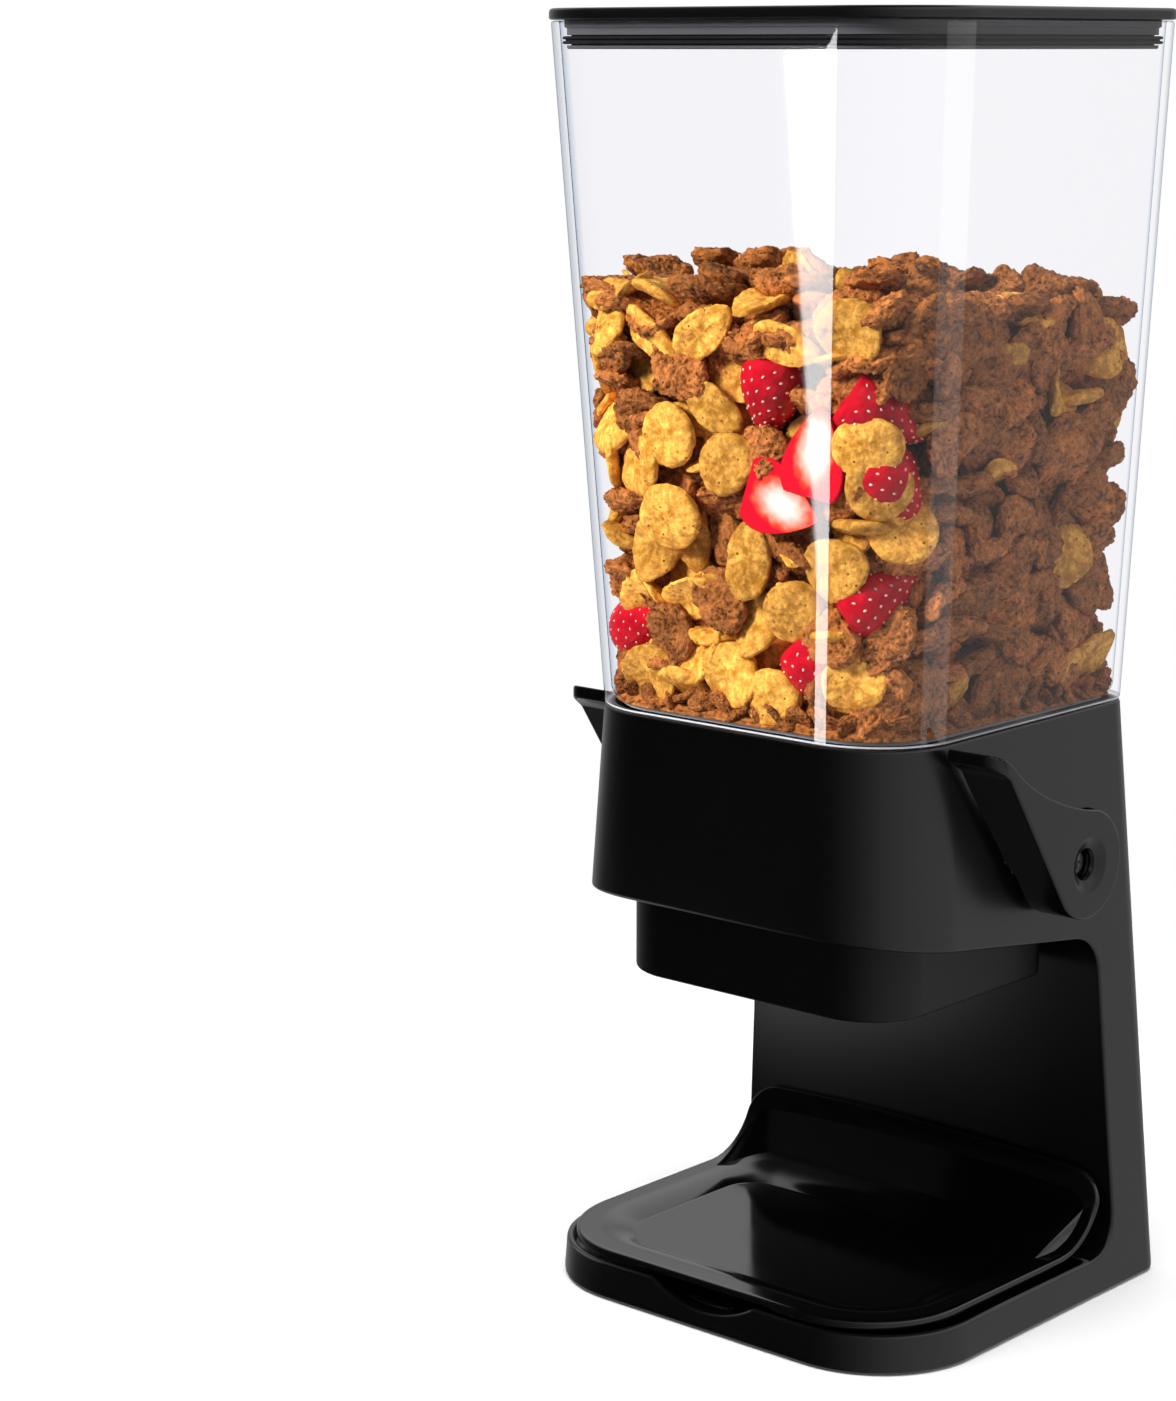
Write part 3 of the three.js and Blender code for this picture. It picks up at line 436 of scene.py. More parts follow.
def silicone_rubber(colours):
    # Silicone rubber, compression moulded: matt, slightly dusty black.
    return moulded_plastic("silicone_rubber_moulded", colours.rubber, 0.72, 0.06, 0.35, 0.02, ior=1.41)


def acetal(colours):
    # Acetal, turned and moulded: waxy off-white bearing plastic.
    return moulded_plastic("acetal_moulded", colours.bush, 0.42, 0.05, 0.5, 0.006, ior=1.48)


def turned_steel(colours):
    # Zinc-plated steel, turned and rolled: bright metal with fine rings of tool marks and dull patches.
    made, tree, where = material("steel_zinc_plated_turned")
    marks = add(tree, "ShaderNodeTexWave", {
        "Vector": where, "Scale": per(6.0), "Distortion": 1.5, "Detail": 2.0}, bands_direction="X")
    patches = add(tree, "ShaderNodeTexNoise", {"Vector": where, "Scale": per(4.0), "Detail": 5.0})
    hue = add(tree, "ShaderNodeValToRGB", {"Fac": patches}, [
        (0.3, solid_colour(colours.steel, 0.8)), (0.75, solid_colour(colours.steel, 1.05))])
    dull = add(tree, "ShaderNodeMapRange", {
        "Value": patches, "To Min": 0.22, "To Max": 0.42})
    relief = add(tree, "ShaderNodeBump", {
        "Height": marks.outputs["Fac"], "Strength": 0.2, "Distance": 0.01 * MM})
    shader = add(tree, "ShaderNodeBsdfPrincipled", {
        "Base Color": hue, "Metallic": 1.0, "Roughness": dull,
        "Normal": relief})
    return finished(made, shader)


def clear_styrene():
    # Styrene acrylonitrile, moulded clear: sharp reflections on its outer skin, and a blue-grey cast
    # where the eye looks along a wall and through more of it.
    made, tree, where = material("san_clear_moulded")
    slope = add(tree, "ShaderNodeLayerWeight", {"Blend": 0.5})
    cast = add(tree, "ShaderNodeValToRGB", {"Fac": slope.outputs["Facing"]}, [
        (0.0, tone("fefeff")), (0.60, tone("fdfdfe")),
        (0.84, tone("e3e8f0")), (0.96, tone("50617e"))])
    through = add(tree, "ShaderNodeBsdfTransparent", {"Color": cast})
    flow = add(tree, "ShaderNodeTexNoise", {"Vector": where, "Scale": per(70.0), "Detail": 1.0})
    relief = add(tree, "ShaderNodeBump", {
        "Height": flow, "Strength": 0.1, "Distance": 0.15 * MM})
    mirror = add(tree, "ShaderNodeBsdfPrincipled", {
        "Base Color": (1.0, 1.0, 1.0, 1.0), "Metallic": 1.0, "Roughness": 0.025,
        "Normal": relief})
    gloss = add(tree, "ShaderNodeFresnel", {"IOR": 1.5})
    outward = add(tree, "ShaderNodeNewGeometry").outputs["Backfacing"]
    front = add(tree, "ShaderNodeMath", {0: 1.0, 1: outward}, operation="SUBTRACT")
    away = add(tree, "ShaderNodeVectorMath", {0: where.node.outputs["Normal"], 1: where},
               operation="DOT_PRODUCT")
    skin = add(tree, "ShaderNodeMath", {0: away.outputs["Value"], 1: 0.0}, operation="GREATER_THAN")
    outer = add(tree, "ShaderNodeMath", {0: front, 1: skin}, operation="MULTIPLY")
    share = add(tree, "ShaderNodeMath", {0: gloss, 1: outer},
                operation="MULTIPLY")
    both = add(tree, "ShaderNodeMixShader", {
        0: share, 1: through, 2: mirror})
    # A thin pale band round the foot is a painted highlight: it stands in for the light line that the rounded
    # foot gathers.
    height = add(tree, "ShaderNodeSeparateXYZ", {"Vector": where}).outputs["Z"]
    highlight_band = add(tree, "ShaderNodeMath", {0: height, 1: (HOPPER_FOOT + 0.35) * MM, 2: 0.45 * MM},
                  operation="COMPARE")
    foot = add(tree, "ShaderNodeMath", {0: highlight_band, 1: 0.5}, operation="MULTIPLY")
    # The painted highlight: a pale grey surface in place of the clear plastic along the foot.
    painted_highlight = add(tree, "ShaderNodeBsdfPrincipled", {"Base Color": (0.8, 0.82, 0.86, 1.0), "Roughness": 0.2})
    with_painted_highlight = add(tree, "ShaderNodeMixShader", {
        0: foot, 1: both, 2: painted_highlight})
    return finished(made, with_painted_highlight)


def baked_flake(name, colour, dark, speck, grit_mm, grit_depth):
    """A baked cereal: a mottled crust, paler on the raised grit and darker in its pits as painted highlight
    and shade along the relief, with darker pores and specks, and a rough grainy relief.
    """
    made, tree, where = material(name)
    odd = add(tree, "ShaderNodeObjectInfo").outputs["Random"]
    mottle = add(tree, "ShaderNodeTexNoise", {
        "Vector": where, "Scale": per(5.0), "Detail": 6.0, "Roughness": 0.68})
    grit = add(tree, "ShaderNodeTexNoise", {
        "Vector": where, "Scale": per(grit_mm), "Detail": 4.0, "Roughness": 0.65})
    blend = add(tree, "ShaderNodeMath", {0: mottle, 1: 0.45}, operation="MULTIPLY")
    height = add(tree, "ShaderNodeMath", {
        0: grit, 1: 0.55, 2: blend}, operation="MULTIPLY_ADD")
    # The colour follows the same grit as the relief: darker in the pits and paler on the lumps, a painted
    # shade and painted highlight over the crust's own mottle.
    crust_with_painted_relief_shade = add(tree, "ShaderNodeValToRGB", {"Fac": height}, [
        (0.40, tone(dark)), (0.475, solid_colour(colour, 0.80)),
        (0.54, solid_colour(colour, 1.15)), (0.62, solid_colour(colour, 1.6))])
    specks = add(tree, "ShaderNodeTexVoronoi", {"Vector": where, "Scale": per(2.6)})
    pores = add(tree, "ShaderNodeValToRGB", {"Fac": specks}, [
        (0.10, (1.0, 1.0, 1.0, 1.0)), (0.20, (0.0, 0.0, 0.0, 1.0))])
    scatter = add(tree, "ShaderNodeTexNoise", {"Vector": where, "Scale": per(3.2), "Detail": 1.0})
    chosen = add(tree, "ShaderNodeValToRGB", {"Fac": scatter}, [
        (0.50, (0.0, 0.0, 0.0, 1.0)), (0.58, (1.0, 1.0, 1.0, 1.0))])
    mask = add(tree, "ShaderNodeMath", {0: pores, 1: chosen}, operation="MULTIPLY")
    speckled = add(tree, "ShaderNodeMix", {0: mask, 6: crust_with_painted_relief_shade, 7: tone(speck)}, data_type="RGBA")
    bake = add(tree, "ShaderNodeMapRange", {"Value": odd, "To Min": 0.72, "To Max": 1.2})
    toned = add(tree, "ShaderNodeHueSaturation", {
        "Color": speckled.outputs[2], "Value": bake, "Saturation": 1.08})
    relief = add(tree, "ShaderNodeBump", {
        "Height": grit, "Strength": 0.9, "Distance": grit_depth * MM})
    shader = add(tree, "ShaderNodeBsdfPrincipled", {
        "Base Color": toned, "Roughness": 0.62, "IOR": 1.45,
        "Normal": relief})
    return finished(made, shader)


def bran_crust(colours):
    # Bran flake, rolled and toasted: rough brown crust with pale grit and dark pores; the grit's paleness
    # follows the relief, so it is partly painted highlight on the lumps and painted shade in the pits.
    return baked_flake("bran_toasted", colours.bran, "5a3018", "3a1a0b", 1.7, 1.6)


def wheat_crust(colours):
    # Wheat and rice flake, puffed and toasted: golden, smoother, with scattered brown specks, and painted
    # paler on its lumps and darker in its pits like the bran.
    return baked_flake("wheat_toasted", colours.wheat, "b8803c", "7a451c", 2.0, 0.6)


def strawberry_skin(colours):
    # Freeze-dried strawberry: glossy red skin, darker in its dimples.
    made, tree, where = material("strawberry_skin")
    mottle = add(tree, "ShaderNodeTexNoise", {"Vector": where, "Scale": per(6.0), "Detail": 4.0})
    hue = add(tree, "ShaderNodeValToRGB", {"Fac": mottle}, [
        (0.3, solid_colour(colours.berry, 0.65)), (0.7, solid_colour(colours.berry, 1.15))])
    cells = add(tree, "ShaderNodeTexVoronoi", {"Vector": where, "Scale": per(2.2)})
    relief = add(tree, "ShaderNodeBump", {
        "Height": cells, "Strength": 0.5, "Distance": 0.5 * MM})
    shader = add(tree, "ShaderNodeBsdfPrincipled", {
        "Base Color": hue, "Roughness": 0.34, "IOR": 1.42, "Subsurface Weight": 0.1,
        "Subsurface Radius": (0.004, 0.001, 0.0006), "Normal": relief})
    return finished(made, shader)


def strawberry_seed():
    # Strawberry seeds: small pale yellow pips.
    made, tree, where = material("strawberry_seed")
    mottle = add(tree, "ShaderNodeTexNoise", {"Vector": where, "Scale": per(1.0)})
    hue = add(tree, "ShaderNodeValToRGB", {"Fac": mottle}, [
        (0.3, tone("e8a08a")), (0.7, tone("ffdcc0"))])
    shader = add(tree, "ShaderNodeBsdfPrincipled", {"Base Color": hue, "Roughness": 0.45, "IOR": 1.45})
    return finished(made, shader)


def strawberry_flesh(colours):
    # Cut strawberry: a white core that turns red towards the skin, with fine rays from the middle.
    made, tree, where = material("strawberry_cut")
    split = add(tree, "ShaderNodeSeparateXYZ", {"Vector": where})
    across = add(tree, "ShaderNodeMath", {0: split.outputs["X"], 1: per(9.5)}, operation="MULTIPLY")
    along = add(tree, "ShaderNodeMath", {0: split.outputs["Y"], 1: per(15.0)}, operation="MULTIPLY")
    flat = add(tree, "ShaderNodeCombineXYZ", {"X": across, "Y": along})
    reach = add(tree, "ShaderNodeVectorMath", {0: flat}, operation="LENGTH")
    streak = add(tree, "ShaderNodeTexNoise", {"Vector": where, "Scale": per(2.4), "Detail": 3.0})
    depth = add(tree, "ShaderNodeMath", {
        0: streak, 1: 0.35, 2: reach.outputs["Value"]}, operation="MULTIPLY_ADD")
    hue = add(tree, "ShaderNodeValToRGB", {"Fac": depth}, [
        (0.30, tone("fff0e8")), (0.62, tone("fbb3a0")),
        (0.88, tone("ee4a30")), (1.0, solid_colour(colours.berry, 1.1))])
    shader = add(tree, "ShaderNodeBsdfPrincipled", {
        "Base Color": hue, "Roughness": 0.38, "IOR": 1.42, "Subsurface Weight": 0.12,
        "Subsurface Radius": (0.004, 0.0015, 0.001)})
    return finished(made, shader)


# ---- Stand: base, column and collar in one moulding ----
CHUTE_PLAN = plan(53.7, -51.2, 36.07, 20.7, 7.7)
CHUTE_BOTTOM = corner_mm("chute", 0).z
PIVOT = Vector((0.0, 11.5, COLLAR_TOP - 41.2))
# Where the shallow well in the base that holds the tray ends at the back.
WELL_REAR = 33.0


def stand_block(name, bottom, top, by=0.0):
    """The stand's outer form between two heights, inset by a distance."""
    return loft(name, [level(inset(stand_plan(z), by), z, corner=22) for z in (bottom, top)])


def collar_edge(y, size):
    """Height of the collar's lower edge, which falls a little towards the column."""
    return COLLAR_TOP - size.collar_height - 0.147 * (y - COLLAR_PLAN.front)


def bowl_space(size):
    """The opening for a bowl, with its curves into the column above and below."""
    fillet, ahead = size.bowl_fillet, -130.0
    foot = column_face(BASE_TOP + fillet)
    head = column_face(CHUTE_BOTTOM)
    front = COLLAR_TOP - size.collar_height
    points = [(ahead, BASE_TOP), (foot - fillet, BASE_TOP)]
    points += bezier((foot - fillet, BASE_TOP), (foot, BASE_TOP), (foot, BASE_TOP + fillet), steps=14)
    edge = collar_edge(head - fillet, size)
    points += [(head, edge - fillet)]
    points += bezier((head, edge - fillet), (head, collar_edge(head - fillet * 0.4, size)),
                     (head - fillet, edge), steps=14)
    points += [(COLLAR_PLAN.front - 3, front), (ahead, front)]
    return side_profile("bowl space", points, *ACROSS)


def collar_hollow(size):
    """The room inside the collar, with a narrower shelf that the hopper's spigot stands on."""
    wall, ledge, shelf = size.stand_wall, 178.2, 4.0
    bend = column_face(CHUTE_BOTTOM) - size.bowl_fillet
    front = COLLAR_TOP - size.collar_height
    slab = side_profile("slab", [
        (-130, front + wall), (COLLAR_PLAN.front, front + wall), (bend, collar_edge(bend, size) + wall),
        (140, collar_edge(bend, size) + wall), (140, 250), (-130, 250)], *ACROSS)
    steps = ((COLLAR_TOP / 2, wall), (ledge - shelf, wall), (ledge - shelf, 5.0), (ledge, 5.0),
             (ledge, wall), (COLLAR_TOP + 2, wall))
    hollow = loft("hollow", rings([(stand_plan(z), by, z) for z, by in steps]))
    return combine(hollow, [slab], "INTERSECT")


def column_hollow(size):
    """The room inside the column and the base, open underneath."""
    wall, ceiling = size.stand_wall, 5.6
    top = collar_edge(column_face(CHUTE_BOTTOM), size) - wall
    slab = side_profile("slab", [
        (-130, -60), (140, -60), (140, top), (column_face(top) + wall, top),
        (column_face(28) + wall, 28), (column_face(BASE_TOP) + wall - 5, BASE_TOP + wall),
        (WELL_REAR + wall + 1, BASE_TOP - wall), (WELL_REAR + wall, ceiling), (-130, ceiling)], *ACROSS)
    return combine(stand_block("hollow", STAND_FOOT - 1, top, wall), [slab], "INTERSECT")


def finger_notch(size):
    """A shallow arc in the base's front lip, for lifting the tray."""
    radius = (size.notch_half ** 2 + size.notch_depth ** 2) / (2 * size.notch_depth)
    centre = BASE_TOP - size.notch_depth + radius
    turns = [2 * math.pi * k / 160 for k in range(160)]
    sides = [[(radius * math.sin(t), y, centre - radius * math.cos(t)) for t in turns]
             for y in (-76.0, -64.4)]
    block = loft("limit", [[(-21, y, 0), (21, y, 0), (21, y, 13.5), (-21, y, 13.5)] for y in (-76.5, -64.2)])
    return combine(loft("notch", sides), [block], "INTERSECT")


class DISPENSER_OT_stand(bpy.types.Operator):
    """Builds the one-piece stand"""
    bl_idname = "dispenser.stand"
    bl_label = "Stand"

    def execute(self, context):
        size = millimetres(context.scene.dispenser_sizes)
        well = {**vars(inset(stand_plan(8), size.stand_wall)), "rear": WELL_REAR, "rear_radius": 6.0}
        hole = inset(CHUTE_PLAN, -0.3)
        body = stand_block("stand", STAND_FOOT, COLLAR_TOP)
        combine(body, [
            bowl_space(size), collar_hollow(size), column_hollow(size),
            loft("well", [level(plan(**well), z) for z in (8.0, 13.5)]),
            finger_notch(size),
            loft("chute hole", [level(hole, z) for z in (CHUTE_BOTTOM - 1, 138.0)]),
            rod("bearing hole", [(-90, 8.3), (90, 8.3)], PIVOT.y, PIVOT.z)])
        round_edges(body, size.edge_round)
        fit(body, "base", "satin_black", satin_abs(context.scene.dispenser_colours), "stand")
        body.name = "stand_moulding"
        return {"FINISHED"}


# ---- Drip tray ----
class DISPENSER_OT_tray(bpy.types.Operator):
    """Builds the drip tray: a flat rim, a shallow recess and a back that sweeps up the column"""
    bl_idname = "dispenser.tray"
    bl_label = "Drip tray"

    def execute(self, context):
        size = millimetres(context.scene.dispenser_sizes)
        top, sweep, sheet = 16.0, size.tray_sweep, size.tray_sheet
        back_top = 40.5
        bend = column_face(back_top) - 0.3 - sheet - sweep
        quarter = sweep * math.pi / 2
        upright = back_top - top - sweep

        def on_sheet(x, s, lift):
            """A place on the sheet: s runs along it from front to back, lift stands off its upper face."""
            turn = min(max((s - bend) / sweep, 0.0), math.pi / 2)
            past = max(s - bend - quarter, 0.0)
            reach = sweep - lift
            y = min(s, bend) + reach * math.sin(turn)
            return (x, y, top + sweep - reach * math.cos(turn) + past)

        edge = plan(71.4, -68.6, bend + quarter + upright, 34.8, 12.0)
        crown_from = edge.rear - 16.0
        steps = {"corner": 18, "side": 26}

        def crowned(x, s):
            """The same place with the back edge dropped a little towards its corners."""
            if s > crown_from:
                s -= 2.4 * (x / edge.half) ** 2 * (s - crown_from) / (edge.rear - crown_from)
            return x, s

        def sheet_ring(by, lift, lip=0.0):
            """A ring round the sheet near its edge; `lip` hangs it lower except at the finger notch."""
            ring = []
            for x, s in (crowned(*spot) for spot in outline(inset(edge, by), **steps)):
                nick = abs(x) < 26 and s < edge.front + 8
                drop = 0.0 if nick or s > bend - 4 else lip
                ring.append(on_sheet(x, s, lift - drop))
            return ring

        floor, mouth = plan(53.5, -51.0, 19.8, 18.0, 11.0), plan(64.6, -61.0, 30.6, 28.0, 17.0)

        def recess_ring(t, below=0.0, by=0.0):
            """A ring of the recess's side, t of the way from its floor (0) up to its mouth (1)."""
            ring, drop = [], (1 - t) ** 1.6
            for x, y in outline(inset(floor, by) if by else between(floor, mouth, t), **steps):
                rise = min(max(y - bend, 0.0), sweep)
                surface = top + sweep - math.sqrt(sweep ** 2 - rise ** 2)
                ring.append((x, y, surface + (size.tray_floor - surface) * drop - below))
            return ring

        skin = [recess_ring(0.0, by=by) for by in (2.0, 0.5)]
        skin += [recess_ring(t) for t in
                 (0.0, 0.03, 0.08, 0.16, 0.26, 0.38, 0.5, 0.62, 0.74, 0.86, 0.95, 1.0)]
        for k in range(1, 9):
            ring = []
            for (x0, y0), (x1, s1) in zip(outline(mouth, **steps), outline(inset(edge, 2.4), **steps)):
                s0 = y0 if y0 <= bend else bend + sweep * math.asin((y0 - bend) / sweep)
                x1, s1 = crowned(x1, s1)
                ring.append(on_sheet(x0 + (x1 - x0) * k / 9, s0 + (s1 - s0) * k / 9, 0.0))
            skin.append(ring)
        lip = 0.9
        rim = ((2.4, 0.0), (1.3, 0.0), (0.7, -0.1), (0.25, -0.4), (0.03, -0.9), (0.0, -1.4),
               (0.0, -sheet + 0.4, lip), (0.3, -sheet, lip), (1.6, -sheet, lip),
               (2.0, -sheet + 0.1), (4.0, -sheet))
        skin += [sheet_ring(*row) for row in rim]
        skin += [recess_ring(t, sheet) for t in (1.0, 0.7, 0.4, 0.2, 0.0)]
        body = loft("drip_tray_moulding", skin)
        level_shading(body, 50)
        fit(body, "drip_tray", "gloss_black", gloss_abs(context.scene.dispenser_colours), "tray")
        return {"FINISHED"}


# ---- Chute ----
class DISPENSER_OT_chute(bpy.types.Operator):
    """Builds the outlet chute that hangs below the collar"""
    bl_idname = "dispenser.chute"
    bl_label = "Chute"

    def execute(self, context):
        size = millimetres(context.scene.dispenser_sizes)
        low, high = corner_mm("chute", 0), corner_mm("chute", 1)
        top, flange = high.z, plan(high.x, low.y, high.y, 24.0, 10.0)
        outer, bore = CHUTE_PLAN, inset(CHUTE_PLAN, size.chute_wall)
        radius, under = 1.1, top - 2.2
        lower = [(outer, radius * (1 - math.sqrt(1 - (1 - t) ** 2)), CHUTE_BOTTOM + radius * t)
                 for t in (0.0, 0.09, 0.3, 0.62, 1.0)]
        upper = [(outer, 0, under - 1.2), (outer, -0.3, under - 0.3), (outer, -1.2, under),
                 (flange, 0.2, under), (flange, 0, under + 0.2), (flange, 0, top - 0.2), (flange, 0.2, top)]
        inner = [(bore, -0.3, top), (bore, 0, top - 0.3), (bore, 0, CHUTE_BOTTOM + 0.5),
                 (bore, -0.15, CHUTE_BOTTOM + 0.15), (bore, -0.5, CHUTE_BOTTOM)]
        body = loft("chute_moulding", rings(lower + upper + inner, corner=20), closed=True)
        spots = [(x, y) for x in (-55.9, 55.9) for y in (PIVOT.y - 31, PIVOT.y + 17)]
        screw = [(top - 6, 1.8), (top + 2, 1.8)]
        combine(body, [rod("shaft hole", [(-80, 6.6), (80, 6.6)], PIVOT.y, PIVOT.z)]
                + [rod("screw hole", screw, y, 0, "Z", x=x, sides=24) for x, y in spots])
        level_shading(body, 60)
        fit(body, "base", "satin_black", matt_abs(context.scene.dispenser_colours), "chute")
        return {"FINISHED"}


# ---- Levers ----
def lever_marks(boss):
    """The lever's tip, its neck, and the turn of the boss where its straight lower edge ends."""
    tip = (PIVOT.y - 50.1, PIVOT.z + 41.4)
    neck = Vector((tip[0] + 7.4, tip[1] - 8.4))
    across = Vector((PIVOT.y, PIVOT.z)) - neck
    return tip, neck, math.atan2(across.y, across.x) - math.asin(boss / across.length) - math.pi / 2


def lever_outline(boss):
    """The lever from the side: a boss, a straight lower edge and a finger tab that turns forward."""
    tip, neck, touch = lever_marks(boss)
    under = (tip[0], tip[1] - 4.0)
    points = [under] + bezier(under, (neck.x - 3, neck.y + 2.6), tuple(neck), steps=10)
    points += arc(PIVOT.y, PIVOT.z, boss, touch, touch + 4.05, 56)
    over = (neck.x + 2.6, neck.y + 3.2)
    points += bezier(points[-1], (PIVOT.y - 12, PIVOT.z + 19.5), (neck.x + 12.5, neck.y - 6.5), over,
                     steps=26)
    points += bezier(over, (neck.x - 1.4, neck.y + 7), tip, steps=10)
    return points


def lever_pocket(boss, wall):
    """What is hollowed from behind the cheek, leaving a flange along the lower edge."""
    _, neck, touch = lever_marks(boss)
    points = [(neck.x + 5.4, neck.y - 1)] + arc(PIVOT.y, PIVOT.z, boss - wall, touch, touch + 2.2, 30)
    return points + [(PIVOT.y + 40, PIVOT.z + 10), (PIVOT.y + 10, PIVOT.z + 60), (neck.x + 5.4, neck.y + 20)]


def lever_solid(size):
    """The right lever: its cheek and flange, with a hub to the shaft and a dished screw hole."""
    inner, outer = corner_mm("lever_right", 0).x, corner_mm("lever_right", 1).x
    wall, hub_face, boss = 3.6, outer - 14.5, size.boss_radius
    cheek = outer - wall
    front, turn = lever_marks(boss)[0][0], 6.5
    body = side_profile("lever", lever_outline(boss), inner, outer)
    end = [(inner - 1, front - 0.01), (outer - turn, front - 0.01)]
    end += [(outer - turn + turn * math.sin(t), front + turn - turn * math.cos(t))
            for t in (k * math.pi / 28 for k in range(1, 15))]
    end += [(outer, PIVOT.y + boss + 3), (inner - 1, PIVOT.y + boss + 3)]
    limit = loft("limit", [[(x, y, z) for x, y in end] for z in (PIVOT.z - 30, COLLAR_TOP + 20)])
    combine(body, [limit], "INTERSECT")
    combine(body, [side_profile("pocket", lever_pocket(boss, wall), inner - 5, cheek)])
    centre = (PIVOT.y, PIVOT.z)
    combine(body, [rod("hub", [(hub_face, boss - 0.6), (cheek + 1, boss - 0.6)], *centre, sides=72)], "UNION")
    gap = [(inner - 6, boss + 9), (hub_face - 4, boss + 7), (hub_face, boss + 2)]
    combine(body, [stand_block("collar", PIVOT.z - 50, COLLAR_TOP + 12, -1.8),
                   rod("gap", gap, *centre, sides=72)])
    hole, depth, dish = 4.3, 6.5, 8.7
    bowl = ((-1, dish + 0.6), (0, dish + 0.35), (0.18, dish - 0.2), (0.55, dish - 1.1), (1.2, dish - 2.3),
            (1.7, hole + 1.1), (2.0, hole + 0.6), (2.5, hole + 0.1), (3.0, hole), (depth, hole))
    combine(body, [rod("dish", [(outer - sunk, radius) for sunk, radius in bowl], *centre, sides=72),
                   rod("socket", [(hub_face - 6, 6.3), (outer - depth - 2, 6.3)], *centre),
                   rod("screw hole", [(outer - depth - 3, 1.8), (outer, 1.8)], *centre, sides=24)])
    return body


class DISPENSER_OT_levers(bpy.types.Operator):
    """Builds the two levers, one the mirror image of the other"""
    bl_idname = "dispenser.levers"
    bl_label = "Levers"

    def execute(self, context):
        size = millimetres(context.scene.dispenser_sizes)
        finish = lever_abs(context.scene.dispenser_colours)
        right = lever_solid(size)
        right.name = "lever_moulding_right"
        left = right.copy()
        left.data = right.data.copy()
        left.name = "lever_moulding_left"
        context.scene.collection.objects.link(left)
        left.data.transform(Matrix.Diagonal((-1.0, 1.0, 1.0, 1.0)))
        left.data.flip_normals()
        for side, lever in (("right", right), ("left", left)):
            round_edges(lever, size.lever_round, segments=4)
            fit(lever, "dispense_lever", "satin_black", finish, f"lever_{side}")
        return {"FINISHED"}


# ---- Hopper and lid ----
class DISPENSER_OT_hopper(bpy.types.Operator):
    """Builds the clear hopper with its spigot and open mouth"""
    bl_idname = "dispenser.hopper"
    bl_label = "Hopper"

    def execute(self, context):
        size = millimetres(context.scene.dispenser_sizes)
        wall = size.hopper_wall
        foot = corner_mm("hopper", 0).z
        spigot = inset(COLLAR_PLAN, size.stand_wall + 0.7)
        bore = inset(spigot, wall)
        base, rim, inside_foot = hopper_plan(HOPPER_FOOT), hopper_plan(RIM_TOP), HOPPER_FOOT + wall
        outside = [(spigot, 0.5, foot), (spigot, 0.12, foot + 0.15), (spigot, 0, foot + 0.6),
                   (spigot, 0, HOPPER_FOOT), (base, 0.7, HOPPER_FOOT), (base, 0.2, HOPPER_FOOT + 0.2)]
        outside += [(hopper_plan(z), 0, z) for z in (HOPPER_FOOT + 0.8, RIM_TOP - 0.9)]
        outside += [(rim, 0.25, RIM_TOP - 0.25), (rim, 0.9, RIM_TOP)]
        inside = [(rim, wall - 0.7, RIM_TOP), (rim, wall - 0.15, RIM_TOP - 0.25)]
        inside += [(hopper_plan(z), wall, z) for z in (RIM_TOP - 0.9, inside_foot + 2.0)]
        floor = hopper_plan(inside_foot)
        inside += [(floor, wall + 0.5, inside_foot + 0.5), (floor, wall + 1.8, inside_foot),
                   (bore, -0.5, inside_foot), (bore, 0, inside_foot - 0.6), (bore, 0, foot + 0.4),
                   (bore, -0.4, foot)]
        body = loft("hopper_moulding", rings(outside + inside, corner=24), closed=True)
        level_shading(body, 80)
        fit(body, "hopper_body", "clear_plastic", clear_styrene(), "hopper")
        return {"FINISHED"}


